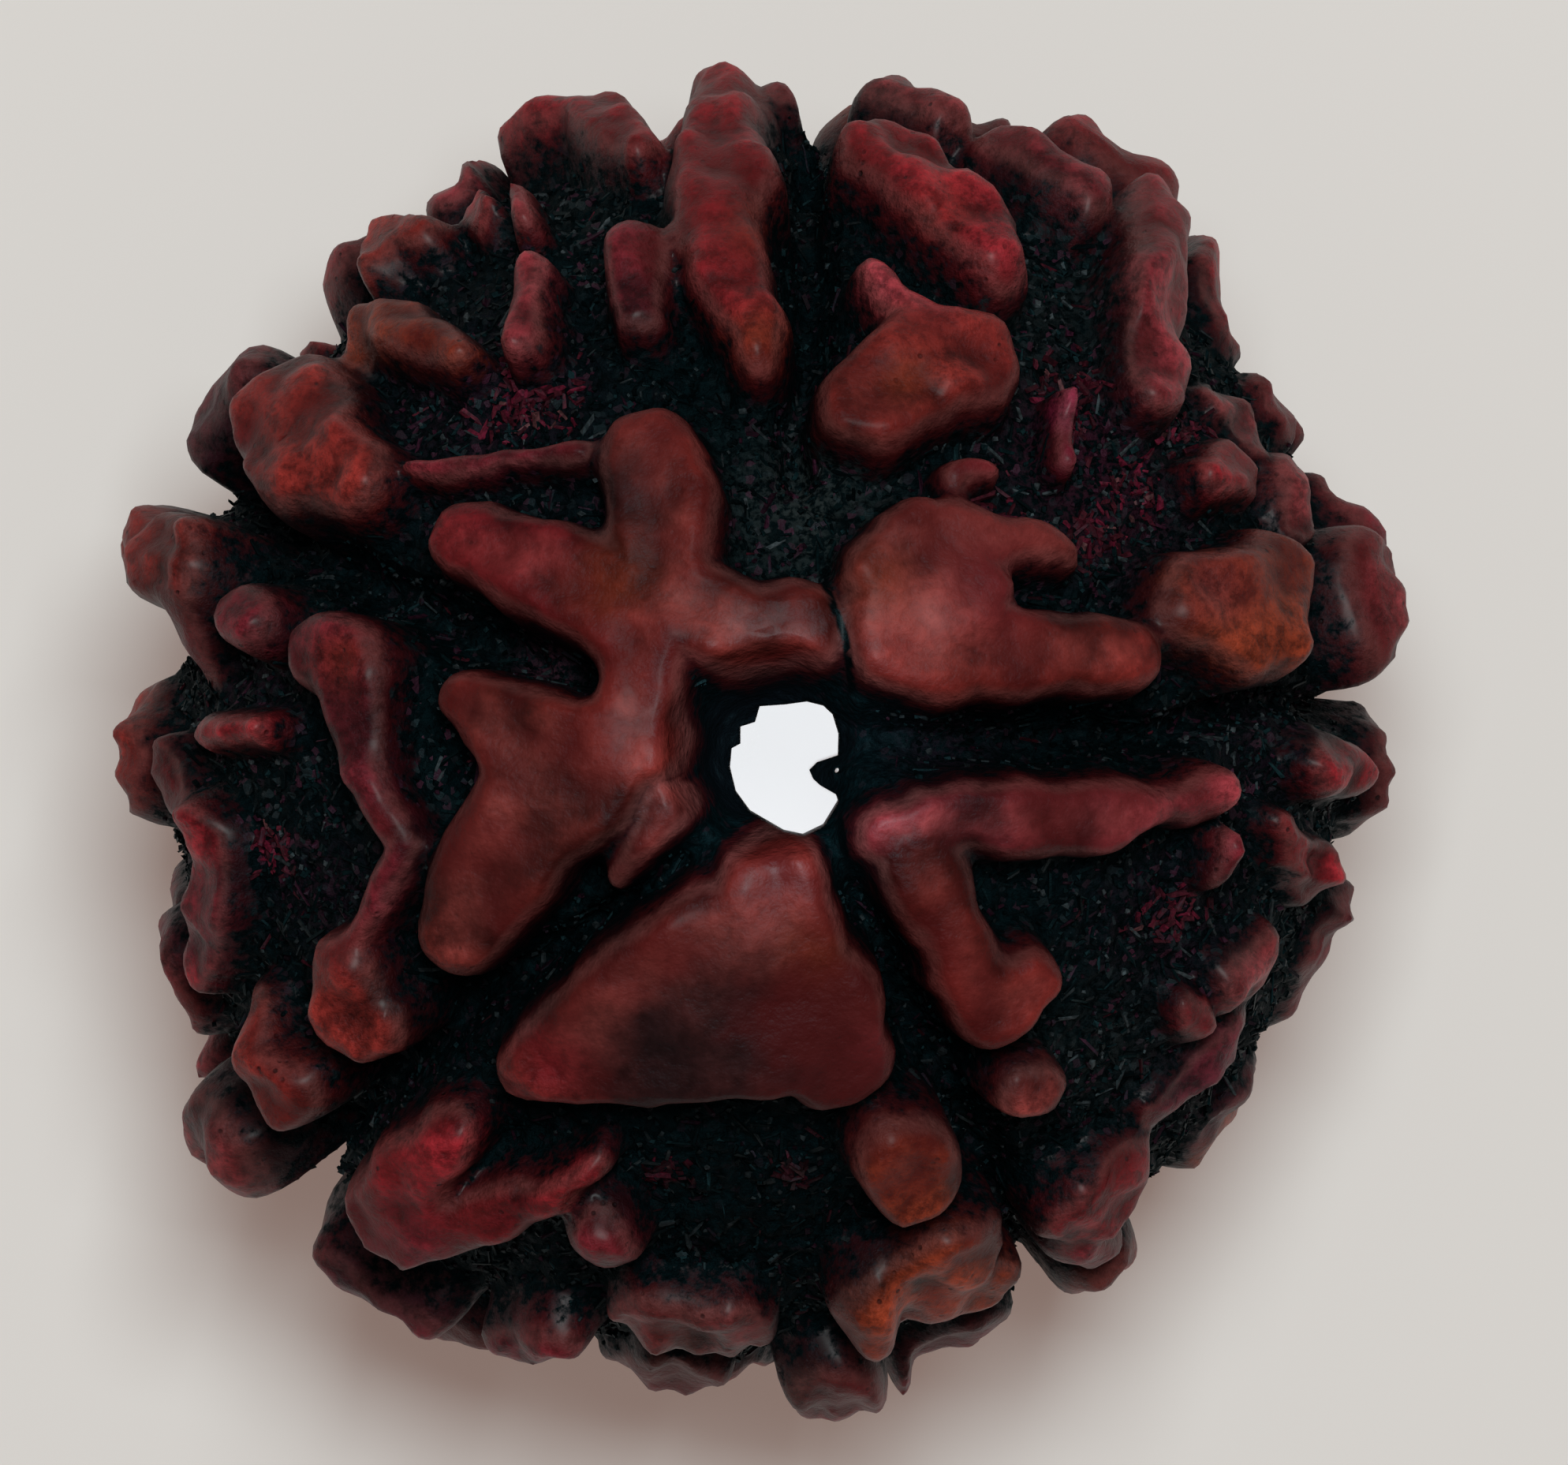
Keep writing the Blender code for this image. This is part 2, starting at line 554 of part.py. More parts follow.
def add_skin(bead):
    """Softens the skin and brings it down to few faces."""
    soften = bead.modifiers.new("soften", "SMOOTH")
    soften.factor = 0.5
    soften.iterations = SOFTEN_TURNS
    thin = bead.modifiers.new("fewer_faces", "DECIMATE")
    thin.decimate_type = "COLLAPSE"
    thin.ratio = SKIN_KEEP


def bounds_of(item):
    """Lowest and highest corner of an object as it is evaluated."""
    depsgraph = bpy.context.evaluated_depsgraph_get()
    evaluated = item.evaluated_get(depsgraph)
    mesh = evaluated.to_mesh()
    corners = np.empty(len(mesh.vertices) * 3)
    mesh.vertices.foreach_get("co", corners)
    corners = corners.reshape(-1, 3)
    evaluated.to_mesh_clear()
    return corners.min(axis=0), corners.max(axis=0)


def bead_material():
    """Dull brick-red seed stone."""
    material = bpy.data.materials.new("rudraksha_stone")
    material.use_nodes = True
    shader = material.node_tree.nodes["Principled BSDF"]
    shader.inputs["Base Color"].default_value = (0.16, 0.035, 0.025, 1.0)
    shader.inputs["Roughness"].default_value = 0.5
    shader.inputs["Metallic"].default_value = 0.0
    return material


def main():
    """Builds the bead and stands its box on the origin."""
    noise.seed_set(SEED)
    clear_scene()
    parts = make_collection("rudraksha_bead")
    cutters = make_collection("cutters")

    bead = make_stone(parts)
    bead.data.materials.append(bead_material())
    add_skin(bead)
    lowest, highest = bounds_of(bead)
    table = lowest[2] + FLAT_CUT * MM
    shaft = make_hole_shaft(cutters)
    block = make_table_cutter(cutters, table)
    add_cut(bead, "thread_hole", shaft)
    add_cut(bead, "resting_flats", block)

    frame = bpy.data.objects.new("bead_frame", None)
    parts.objects.link(frame)
    for item in (bead, shaft, block):
        item.parent = frame
    frame.location = (-(lowest[0] + highest[0]) / 2.0, -(lowest[1] + highest[1]) / 2.0, -table)
    bead.data.shade_smooth()


main()
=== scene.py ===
# %% [markdown]
# A rudraksha bead, seen straight down its thread hole.
#
# The bead is the hard dried stone of a fruit. Five grooves run from pole to pole, and
# between them a net of smooth pads, ridges and round knobs stands up from a black,
# fibrous ground. The whole bead grew as one piece, so it stays one piece here: the
# plain solid that carries its size is loaded first, and everything is fitted to it.

# %% Load the frame
import math
import random

import bpy
import numpy as np
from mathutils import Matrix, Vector, noise


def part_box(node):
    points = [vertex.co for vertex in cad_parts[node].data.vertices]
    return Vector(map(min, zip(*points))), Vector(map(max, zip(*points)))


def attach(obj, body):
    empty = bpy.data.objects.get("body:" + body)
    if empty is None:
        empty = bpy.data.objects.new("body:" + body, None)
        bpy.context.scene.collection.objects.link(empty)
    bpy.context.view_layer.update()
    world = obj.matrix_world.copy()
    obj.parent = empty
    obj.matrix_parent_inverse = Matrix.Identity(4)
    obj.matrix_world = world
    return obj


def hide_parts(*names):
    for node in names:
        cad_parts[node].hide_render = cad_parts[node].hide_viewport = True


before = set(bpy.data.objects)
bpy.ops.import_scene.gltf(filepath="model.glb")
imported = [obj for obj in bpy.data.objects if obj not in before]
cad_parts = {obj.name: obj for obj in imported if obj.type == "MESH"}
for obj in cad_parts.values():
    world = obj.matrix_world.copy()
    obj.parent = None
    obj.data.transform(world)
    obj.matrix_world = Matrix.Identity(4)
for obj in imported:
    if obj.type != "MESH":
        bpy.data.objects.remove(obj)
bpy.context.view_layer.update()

MM = 0.001
cad_low, cad_high = (np.array(corner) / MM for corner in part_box("bead"))
print("The plain solid is", np.round(cad_high - cad_low, 2), "mm")

# %% [markdown]
# The bead's own sizes come next, in millimetres from the thread hole's axis. The stone
# without its net is a ball that is a little longer one way than the other, and a little
# flattened from pole to pole. One driving number each keeps the shape easy to change.

# %% The stone's sizes
STONE_LONG_RADIUS = 10.25
STONE_SHORT_RADIUS = 9.7
STONE_HALF_HEIGHT = 8.3
STONE_TURN = 66.0
STONE_CENTRE = (-0.42, 0.42)
NET_LEVEL = 0.75

STONE_RADII = np.array([STONE_LONG_RADIUS, STONE_SHORT_RADIUS, STONE_HALF_HEIGHT])
NET_RADII = STONE_RADII + NET_LEVEL
TURN = math.radians(STONE_TURN)
STONE_AXES = np.array([
    [math.cos(TURN), math.sin(TURN), 0.0],
    [-math.sin(TURN), math.cos(TURN), 0.0],
    [0.0, 0.0, 1.0],
])
print("The bare stone is", 2.0 * STONE_RADII, "mm along its own axes")

# %% [markdown]
# The net can't be one smooth texture: each pad and knob has its own outline, and that is
# what makes this bead this bead. So every ridge is written down as a short line of
# points, seen from above, each with the half width of the ridge there. The word in front
# names its colour. The points could be drawn as curves by hand, but a table is quicker
# to read and to correct.

# %% Ridges right of the upper groove
SECTOR_A = [
    ("rosewood", [(1.7, 2.4, 0.75), (2.4, 3.1, 1.25), (2.9, 3.8, 0.7), (3.9, 3.85, 0.45),
                  (4.7, 3.6, 0.3)]),
    ("brick", [(1.9, 2.05, 0.8), (4.0, 1.95, 0.75), (5.7, 1.95, 0.65)]),
    ("amber", [(6.8, 2.75, 0.8), (7.7, 2.6, 1.1), (8.2, 3.3, 0.75)]),
    ("dusty", [(9.6, 3.2, 0.85), (9.7, 2.3, 0.8)]),
    ("dusty", [(8.75, 5.0, 0.55), (8.8, 4.4, 0.5)]),
    ("crimson", [(7.1, 4.9, 0.4), (7.8, 5.15, 0.6)]),
    ("dusty", [(7.6, 6.4, 0.45), (8.0, 6.2, 0.55), (8.15, 5.8, 0.45)]),
    ("rose", [(6.0, 9.1, 0.65), (6.2, 8.1, 0.75), (6.3, 7.1, 0.75), (6.3, 6.5, 0.65)]),
    ("crimson", [(5.0, 10.2, 0.75), (5.7, 9.9, 0.85)]),
    ("rose", [(3.5, 10.4, 0.45), (4.3, 9.9, 0.5), (5.0, 9.4, 0.5)]),
    ("dusty", [(1.8, 11.1, 0.65), (2.6, 10.8, 0.6)]),
    ("crimson", [(1.7, 10.1, 0.8), (2.4, 9.6, 0.9), (3.1, 8.9, 0.75), (3.6, 8.2, 0.45)]),
    ("rose", [(1.5, 8.2, 0.38), (1.8, 7.7, 0.45), (2.3, 7.3, 0.5)]),
    ("brick", [(1.5, 6.1, 0.85), (2.3, 6.7, 0.95), (3.1, 6.8, 0.8)]),
    ("rose", [(2.8, 4.8, 0.3), (3.4, 5.1, 0.2)]),
    ("magenta", [(4.75, 5.2, 0.22), (4.75, 6.2, 0.22)]),
]

# %% Ridges right of the lower groove
SECTOR_B = [
    ("rose", [(1.5, -1.1, 0.5), (2.4, -0.8, 0.65), (4.0, -0.8, 0.68), (5.4, -0.75, 0.62),
              (6.3, -0.6, 0.4), (7.05, -0.35, 0.5)]),
    ("brick", [(2.2, -1.5, 0.75), (2.65, -2.5, 0.6), (3.05, -3.4, 0.62), (3.55, -3.8, 0.75),
               (4.0, -3.5, 0.6)]),
    ("crimson", [(9.2, 0.05, 0.55), (9.8, 0.0, 0.5)]),
    ("crimson", [(8.5, -0.9, 0.3), (8.8, -1.4, 0.4), (9.25, -1.75, 0.6)]),
    ("dusty", [(7.7, -3.7, 0.5), (8.2, -3.5, 0.7)]),
    ("maroon", [(7.4, -1.2, 0.28), (7.3, -1.8, 0.3)]),
    ("crimson", [(6.8, -4.0, 0.3), (7.2, -4.5, 0.38)]),
    ("maroon", [(7.9, -4.7, 0.5), (7.2, -5.4, 0.5), (6.6, -6.0, 0.5)]),
    ("rosewood", [(3.9, -5.35, 0.5), (4.3, -5.3, 0.5)]),
    ("crimson", [(5.2, -7.4, 0.9), (5.6, -7.1, 0.85)]),
    ("maroon", [(5.4, -8.2, 0.5), (4.9, -8.1, 0.5)]),
]

# %% Ridges left of the lower groove
SECTOR_C = [
    ("russet", [(-0.2, -1.9, 0.85), (-0.2, -3.0, 1.15), (-0.6, -4.0, 1.4), (-2.6, -4.6, 0.95),
                (-4.2, -4.9, 0.6)]),
    ("russet", [(-0.3, -3.2, 1.1), (0.3, -4.0, 1.2), (0.9, -4.8, 0.85)]),
    ("russet", [(-0.9, -2.7, 0.9), (-2.2, -3.8, 1.1), (-3.9, -4.75, 0.75)]),
    ("amber", [(1.9, -6.35, 0.8), (2.1, -6.7, 0.8)]),
    ("amber", [(2.8, -8.2, 0.95), (1.85, -8.8, 1.0), (3.1, -8.9, 0.9)]),
    ("dusty", [(0.8, -10.15, 0.8), (0.85, -10.3, 0.75)]),
    ("dusty", [(-2.1, -9.4, 0.85), (-1.2, -9.5, 0.95)]),
    ("maroon", [(-4.6, -9.6, 0.6), (-3.9, -9.6, 0.6)]),
    ("maroon", [(-3.1, -7.7, 0.6), (-2.95, -7.9, 0.55)]),
    ("crimson", [(-5.4, -6.0, 0.5), (-6.1, -6.7, 0.75), (-6.3, -7.2, 0.9), (-5.3, -7.5, 0.6),
                 (-4.3, -7.2, 0.45), (-3.2, -6.6, 0.3)]),
    ("maroon", [(-7.4, -8.2, 0.5), (-6.7, -8.7, 0.5), (-5.9, -9.1, 0.5)]),
]

# %% Ridges on the left
SECTOR_D = [
    ("russet", [(-2.4, 0.5, 0.8), (-3.5, 0.1, 1.05), (-4.3, 0.4, 0.9), (-5.3, 1.15, 0.5)]),
    ("russet", [(-3.4, 0.0, 1.1), (-4.1, -0.7, 1.05), (-4.8, -1.6, 0.95), (-5.4, -2.6, 0.78)]),
    ("maroon", [(-7.7, 2.05, 0.65), (-7.2, 1.8, 0.7), (-7.15, 1.0, 0.6), (-7.0, 0.1, 0.5),
                (-6.5, -0.9, 0.4)]),
    ("brick", [(-7.25, -3.4, 0.65), (-7.1, -4.0, 0.8), (-6.7, -4.2, 0.55)]),
    ("maroon", [(-7.2, -3.0, 0.35), (-6.8, -2.2, 0.34), (-6.3, -1.2, 0.34)]),
    ("maroon", [(-8.95, 2.55, 0.6), (-8.75, 2.45, 0.55)]),
    ("brick", [(-10.5, 3.6, 0.75), (-9.8, 3.3, 0.75)]),
    ("maroon", [(-10.0, 2.6, 0.5), (-10.1, 1.9, 0.4)]),
    ("crimson", [(-9.9, 0.6, 0.34), (-8.8, 0.6, 0.34)]),
    ("crimson", [(-10.6, 0.0, 0.55), (-10.3, -0.7, 0.5)]),
    ("crimson", [(-9.9, -1.2, 0.7), (-9.85, -2.2, 0.7), (-9.95, -3.5, 0.55)]),
    ("brick", [(-8.95, -4.1, 0.45), (-8.6, -4.8, 0.6), (-8.2, -5.2, 0.75)]),
    ("dusty", [(-9.1, -6.0, 1.0), (-9.0, -6.1, 0.95)]),
    ("rosewood", [(-1.9, -0.65, 0.5), (-2.2, -1.1, 0.42), (-2.8, -1.8, 0.22)]),
]

# %% Ridges upper left
SECTOR_E = [
    ("russet", [(-2.2, 5.1, 0.9), (-2.05, 4.2, 0.9), (-2.0, 3.2, 0.85)]),
    ("russet", [(-1.9, 2.8, 0.85), (-0.8, 2.35, 0.75), (0.35, 2.35, 0.68)]),
    ("crimson", [(-5.3, 3.85, 0.65), (-4.4, 3.5, 0.78), (-3.2, 3.0, 0.82), (-2.4, 2.5, 0.85)]),
    ("russet", [(-2.3, 2.4, 0.75), (-2.35, 1.5, 0.68), (-2.4, 0.7, 0.75)]),
    ("maroon", [(-6.2, 5.0, 0.22), (-4.6, 5.25, 0.2), (-3.4, 5.3, 0.25)]),
    ("brick", [(-8.1, 5.9, 1.1), (-7.9, 5.2, 1.0), (-7.1, 4.8, 0.7)]),
    ("maroon", [(-8.9, 6.5, 0.65), (-9.5, 5.7, 0.65)]),
    ("amber", [(-7.3, 7.4, 0.55), (-6.6, 7.5, 0.5), (-6.0, 7.2, 0.5), (-5.5, 6.9, 0.35)]),
    ("brick", [(-6.8, 8.5, 0.5), (-6.6, 8.9, 0.6), (-6.1, 9.0, 0.5)]),
    ("crimson", [(-5.3, 9.6, 0.4), (-5.1, 9.4, 0.35)]),
    ("crimson", [(-4.3, 10.7, 0.5), (-3.2, 10.8, 0.65), (-2.4, 10.4, 0.5)]),
    ("crimson", [(-0.9, 11.4, 0.6), (-1.0, 10.5, 0.65), (-1.0, 9.8, 0.9), (-1.15, 9.1, 0.75),
                 (-0.9, 8.3, 0.65), (-0.5, 7.5, 0.55), (-0.4, 6.9, 0.45)]),
    ("maroon", [(-0.1, 11.4, 0.35), (-0.1, 11.2, 0.35)]),
    ("maroon", [(-2.4, 8.7, 0.55), (-2.35, 7.6, 0.5)]),
    ("rose", [(-4.25, 8.3, 0.35), (-4.35, 7.2, 0.45)]),
    ("rose", [(-4.4, 9.6, 0.2), (-4.35, 9.1, 0.2)]),
]

SECTORS = [SECTOR_A, SECTOR_E, SECTOR_D, SECTOR_C, SECTOR_B]
print(sum(len(sector) for sector in SECTORS), "ridges are drawn on the upper face")

# %% [markdown]
# The grooves split the net into five sectors. They are deep, narrow and black, and they
# are written the same way as the ridges. Below the rim nothing is seen, so there each
# groove runs on as a line that wavers by a sine.

# %% The five grooves
UPPER_GROOVES = [
    [(1.2, 0.5, 0.4), (3.0, 0.5, 0.5), (5.0, 0.55, 0.5), (6.5, 0.6, 0.4), (8.4, 1.1, 0.35),
     (9.9, 1.2, 0.3)],
    [(0.3, 5.2, 0.35), (0.35, 6.5, 0.45), (0.4, 8.0, 0.5), (0.45, 9.5, 0.45),
     (0.5, 11.0, 0.4)],
    [(-3.2, 1.6, 0.3), (-4.6, 2.0, 0.5), (-6.0, 2.6, 0.6), (-7.6, 3.4, 0.5),
     (-9.4, 4.4, 0.45)],
    [(-5.2, -3.7, 0.45), (-6.6, -5.0, 0.5), (-8.0, -6.5, 0.4)],
    [(1.4, -2.2, 0.3), (1.8, -3.2, 0.5), (2.4, -4.6, 0.6), (3.1, -6.4, 0.65),
     (3.9, -7.8, 0.55), (4.3, -9.0, 0.5)],
    [(-2.5, -0.9, 0.2), (-3.5, -1.9, 0.26), (-5.0, -3.3, 0.32)],
    [(-1.7, -1.8, 0.2), (-3.2, -2.7, 0.26), (-5.0, -3.9, 0.32)],
]
GROOVE_DEPTH = 1.0
GROOVE_WIDTH = 0.5
GROOVE_AZIMUTHS = (3.0, 85.0, 155.0, 222.0, 297.0)
GROOVE_LATITUDES = range(16, -77, -6)
GROOVE_WAVER = 2.5
GROOVE_WAVE = 0.11
GROOVE_CLEARING = 0.5
print(len(GROOVE_AZIMUTHS), "grooves run from pole to pole")

# %% [markdown]
# Round the rim the knobs stand out against the floor, so their reach has to follow the
# real outline. It is kept as the corners between the knobs, in order round the bead.

# %% The outline from above
OUTLINE = [
    (10.4, 2.1), (10.4, 3.2), (10.0, 3.8), (9.1, 4.0), (9.25, 5.0), (8.45, 5.6), (8.2, 6.5),
    (7.2, 7.0), (7.0, 8.0), (6.6, 9.0), (6.4, 10.0), (5.2, 10.85), (3.3, 10.8), (1.9, 11.7),
    (1.3, 11.6), (0.6, 10.7), (0.0, 11.6), (-0.9, 11.8), (-1.3, 11.6), (-2.0, 10.8),
    (-3.3, 11.3), (-4.7, 11.0), (-4.8, 9.9), (-6.1, 9.45), (-6.9, 9.3), (-7.25, 8.6),
    (-7.2, 7.8), (-8.1, 6.85), (-8.8, 7.1), (-9.6, 6.5), (-10.1, 5.5), (-9.85, 5.0),
    (-9.9, 4.3), (-10.8, 4.2), (-11.2, 3.7), (-10.3, 2.4), (-10.1, 1.5), (-10.6, 0.9),
    (-11.15, -0.1), (-10.6, -1.0), (-10.5, -2.6), (-10.2, -4.0), (-9.3, -4.5), (-9.7, -5.2),
    (-9.9, -6.0), (-9.3, -7.0), (-8.1, -7.1), (-7.9, -7.9), (-7.6, -8.8), (-6.0, -9.6),
    (-5.3, -9.5), (-4.3, -10.2), (-3.0, -9.6), (-1.6, -10.45), (-0.1, -9.8), (0.1, -10.4),
    (0.8, -11.0), (1.4, -10.7), (1.6, -9.8), (3.2, -9.65), (4.3, -8.8), (5.2, -8.75),
    (6.4, -7.2), (6.3, -6.6), (6.9, -6.1), (7.9, -5.1), (8.85, -3.3), (8.8, -2.4),
    (9.8, -2.0), (9.25, -1.0), (10.3, 0.0), (9.7, 1.4),
]
FULL_LIFT = 1.25
LEAST_SHARE = 0.3
MOST_SHARE = 1.2
RIM_LATITUDE = 24.0
RIM_FADE = 16.0
RIM_PEAK = 3.5
print("The outline has", len(OUTLINE), "corners")

# %% [markdown]
# A point that was read from above has to be laid on the ball before its ridge can wrap
# round the bead. The height follows from the ball itself: the further out the point, the
# lower it lies. A ridge is broader at its foot than its lit top shows from above, so
# each half width is raised by about a quarter.

# %% From the drawing to the ball
FOOT = 1.24
SLIMMEST = 0.3


def on_upper_net(point):
    """Lifts a point seen from above onto the upper half of the net's ball."""
    x, y, width = point
    flat = np.array([x - STONE_CENTRE[0], y - STONE_CENTRE[1], 0.0])
    unit = (STONE_AXES @ flat) / NET_RADII
    reach = math.hypot(unit[0], unit[1])
    unit = unit / max(reach, 1.0)
    unit[2] = math.sqrt(max(0.0, 1.0 - min(reach, 1.0) ** 2))
    return (unit * NET_RADII) @ STONE_AXES, max(FOOT * width, SLIMMEST)


def on_net(azimuth, latitude, width):
    """A point of the net's ball from its azimuth and latitude in degrees."""
    turn = math.radians(azimuth - STONE_TURN)
    rise = math.radians(latitude)
    level = math.cos(rise)
    unit = np.array([level * math.cos(turn), level * math.sin(turn), math.sin(rise)])
    return (unit * NET_RADII) @ STONE_AXES, width


def azimuth_and_latitude(place):
    """Azimuth and latitude in degrees of a point of the net's ball."""
    unit = (STONE_AXES @ place) / NET_RADII
    unit = unit / np.linalg.norm(unit)
    azimuth = math.degrees(math.atan2(unit[1], unit[0])) + STONE_TURN
    return azimuth % 360.0, math.degrees(math.asin(unit[2]))


upper_net = [(tone, [on_upper_net(point) for point in line])
             for sector in SECTORS for tone, line in sector]
print("The lowest drawn point lies", round(min(place[2] for _, line in upper_net
                                               for place, _ in line), 2), "mm up")

# %% [markdown]
# The lower face isn't in the photograph. A real bead has the same kind of net there, so
# the upper sectors are repeated below, each two places on, wherever there is room. A
# small crowd of all laid points answers how much room is left.

# %% The net of the lower face
SECTORS_ON = 2
SECTOR_OVERHANG = 30.0
RIDGE_GAP = 0.1


class Crowd:
    """All the points of the net laid so far, to find how much room is left."""

    def __init__(self, lines):
        self.places = np.array([place for line in lines for place, width in line])
        self.widths = np.array([width for line in lines for place, width in line])

    def gap(self, line):
        """Smallest free distance between a line and all the others."""
        gaps = [np.linalg.norm(self.places - place, axis=1) - self.widths - width
                for place, width in line]
        return float(np.min(gaps))

    def add(self, line):
        """Takes one more line in."""
        self.places = np.vstack([self.places] + [place for place, width in line])
        self.widths = np.append(self.widths, [width for place, width in line])


def sector_span(index):
    """First azimuth and width in degrees of the sector between two grooves."""
    start = GROOVE_AZIMUTHS[index]
    end = GROOVE_AZIMUTHS[(index + 1) % len(GROOVE_AZIMUTHS)]
    return start, (end - start) % 360.0


def turned_below(line, source, target):
    """A ridge of one upper sector, laid into another sector of the lower face."""
    source_start, source_width = sector_span(source)
    target_start, target_width = sector_span(target)
    turned = []
    for place, width in line:
        azimuth, latitude = azimuth_and_latitude(place)
        offset = (azimuth - source_start + SECTOR_OVERHANG) % 360.0 - SECTOR_OVERHANG
        azimuth = target_start + offset * target_width / source_width
        turned.append(on_net(azimuth, -latitude, width))
    return turned


crowd = Crowd([line for tone, line in upper_net])
lower_net = []
for source, sector in enumerate(SECTORS):
    target = (source + SECTORS_ON) % len(SECTORS)
    for tone, line in sector:
        turned = turned_below([on_upper_net(point) for point in line], source, target)
        if crowd.gap(turned) > RIDGE_GAP:
            lower_net.append((tone, turned))
for tone, line in lower_net:
    crowd.add(line)
print(len(lower_net), "ridges are repeated on the lower face")

# %% [markdown]
# Down the sides each groove has broken, lumpy lips, and the rest of the waist is crowded
# with knobs. Both are random, drawn from one seeded source, so the bead is the same each
# time. Big knobs are tried first and small ones fill the gaps, as in the real thing.

# %% Lips and knobs
SEED = 5
LIP_DISTANCE = 1.35
LIP_TOP_LATITUDES = (10.0, 20.0)
LIP_LOW_LATITUDE = -40.0
LIP_LENGTHS = (1, 1, 2, 3)
LIP_WIDTHS = (0.55, 0.9)
LIP_STEPS = (5.0, 8.0)
LIP_BREAKS = (3.0, 6.0)
KNOB_TRIES = 16000
WIDEST_KNOB = 1.15
SLIMMEST_KNOB = 0.62
KNOB_GAP = 0.12
KNOB_TOP_LATITUDE = 6.0
KNOB_LOW_LATITUDE = -62.0
KNOB_LEAN = 7.0
KNOB_LENGTHS = (1.0, 12.0)
KNOB_TAPER = 0.85
WAIST_TONES = ("brick", "crimson", "crimson", "maroon", "maroon", "dusty", "rose", "amber")


def groove_azimuth(azimuth, latitude):
    """Azimuth of a groove at a latitude, as it wavers on its way under the bead."""
    waver = GROOVE_WAVER * math.sin(GROOVE_WAVE * latitude + azimuth)
    return azimuth + waver / math.cos(math.radians(latitude))


def lip_lines(draw):
    """Broken ridges on both sides of each groove down the sides."""
    lips = []
    for azimuth in GROOVE_AZIMUTHS:
        for side in (-1.0, 1.0):
            latitude = draw.uniform(*LIP_TOP_LATITUDES)
            while latitude > LIP_LOW_LATITUDE:
                length = draw.choice(LIP_LENGTHS)
                lip = []
                for _ in range(length + 1):
                    width = draw.uniform(*LIP_WIDTHS)
                    reach = math.cos(math.radians(latitude)) * NET_RADII[0]
                    aside = math.degrees(LIP_DISTANCE / reach)
                    middle = groove_azimuth(azimuth, latitude)
                    lip.append(on_net(middle + side * aside, latitude, width))
                    latitude -= draw.uniform(*LIP_STEPS)
                latitude -= draw.uniform(*LIP_BREAKS)
                if crowd.gap(lip) > RIDGE_GAP:
                    lips.append(lip)
                    crowd.add(lip)
    return lips


def knob_lines(draw):
    """Knobs in the free places round the waist and low on the sides."""
    knobs = []
    groove_crowd = Crowd(grooves)
    for number in range(KNOB_TRIES):
        azimuth = draw.uniform(0.0, 360.0)
        latitude = draw.uniform(KNOB_LOW_LATITUDE, KNOB_TOP_LATITUDE)
        width = WIDEST_KNOB - (WIDEST_KNOB - SLIMMEST_KNOB) * number / KNOB_TRIES
        lean = draw.uniform(-KNOB_LEAN, KNOB_LEAN)
        length = draw.uniform(*KNOB_LENGTHS)
        knob = [on_net(azimuth, latitude, width),
                on_net(azimuth + lean, latitude - length, KNOB_TAPER * width)]
        if crowd.gap(knob) > KNOB_GAP and groove_crowd.gap(knob) > 0.0:
            knobs.append(knob)
            crowd.add(knob)
    return knobs


grooves = [[on_upper_net(point) for point in groove] for groove in UPPER_GROOVES]
grooves += [[on_net(groove_azimuth(azimuth, latitude), latitude, GROOVE_WIDTH)
             for latitude in GROOVE_LATITUDES] for azimuth in GROOVE_AZIMUTHS]
knob_draw = random.Random(SEED)
tone_draw = random.Random(SEED + 1)
waist_net = [(tone_draw.choice(WAIST_TONES), line)
             for line in lip_lines(knob_draw) + knob_lines(knob_draw)]
net = upper_net + lower_net + waist_net
print(len(waist_net), "lips and knobs bring the net to", len(net), "ridges")

# %% [markdown]
# Now the height of the net at any place. A ridge is as high as its half width lets it
# be, its shoulder rolls over to a flat top, and where ridges overlap the higher one
# wins. Beside the height three more things are wanted later for the colour: how far
# inside the ridge's edge a place lies, how broad the ridge is there, and the blended
# colour of the ridges near it.

# %% Height of the net
PAD_HEIGHT = 1.65
SLIM_WIDTH = 0.22
SHOULDER = 0.55
SHOULDER_ROLL = 2.4
SHOULDER_RISE = 0.55
TONE_REACH = 1.2
TONE_BLEND = 0.18
PULL_LIMITS = (-20.0, 6.0)
LEAST_PULL = 1e-9
OUTSIDE = -3.0
FAR = 1e9
SHORTEST = 1e-6

TONES = {
    "rosewood": (0.250, 0.042, 0.037),
    "russet": (0.165, 0.020, 0.016),
    "brick": (0.200, 0.019, 0.015),
    "amber": (0.175, 0.025, 0.010),
    "crimson": (0.205, 0.011, 0.016),
    "rose": (0.220, 0.026, 0.034),
    "dusty": (0.165, 0.025, 0.028),
    "maroon": (0.125, 0.011, 0.018),
    "magenta": (0.170, 0.012, 0.036),
}


def along_line(places, line):
    """Distance to a line of points, and the line's half width there, for every place."""
    best = np.full(len(places), FAR)
    distance = np.full(len(places), FAR)
    width = np.zeros(len(places))
    for (start, start_width), (end, end_width) in zip(line[:-1], line[1:]):
        step = end - start
        share = ((places - start) @ step) / max(float(step @ step), SHORTEST)
        share = np.clip(share, 0.0, 1.0)
        away = np.linalg.norm(places - start - share[:, None] * step, axis=1)
        local = start_width + share * (end_width - start_width)
        nearer = away / local < best
        best[nearer] = (away / local)[nearer]
        distance[nearer] = away[nearer]
        width[nearer] = local[nearer]
    return distance, width


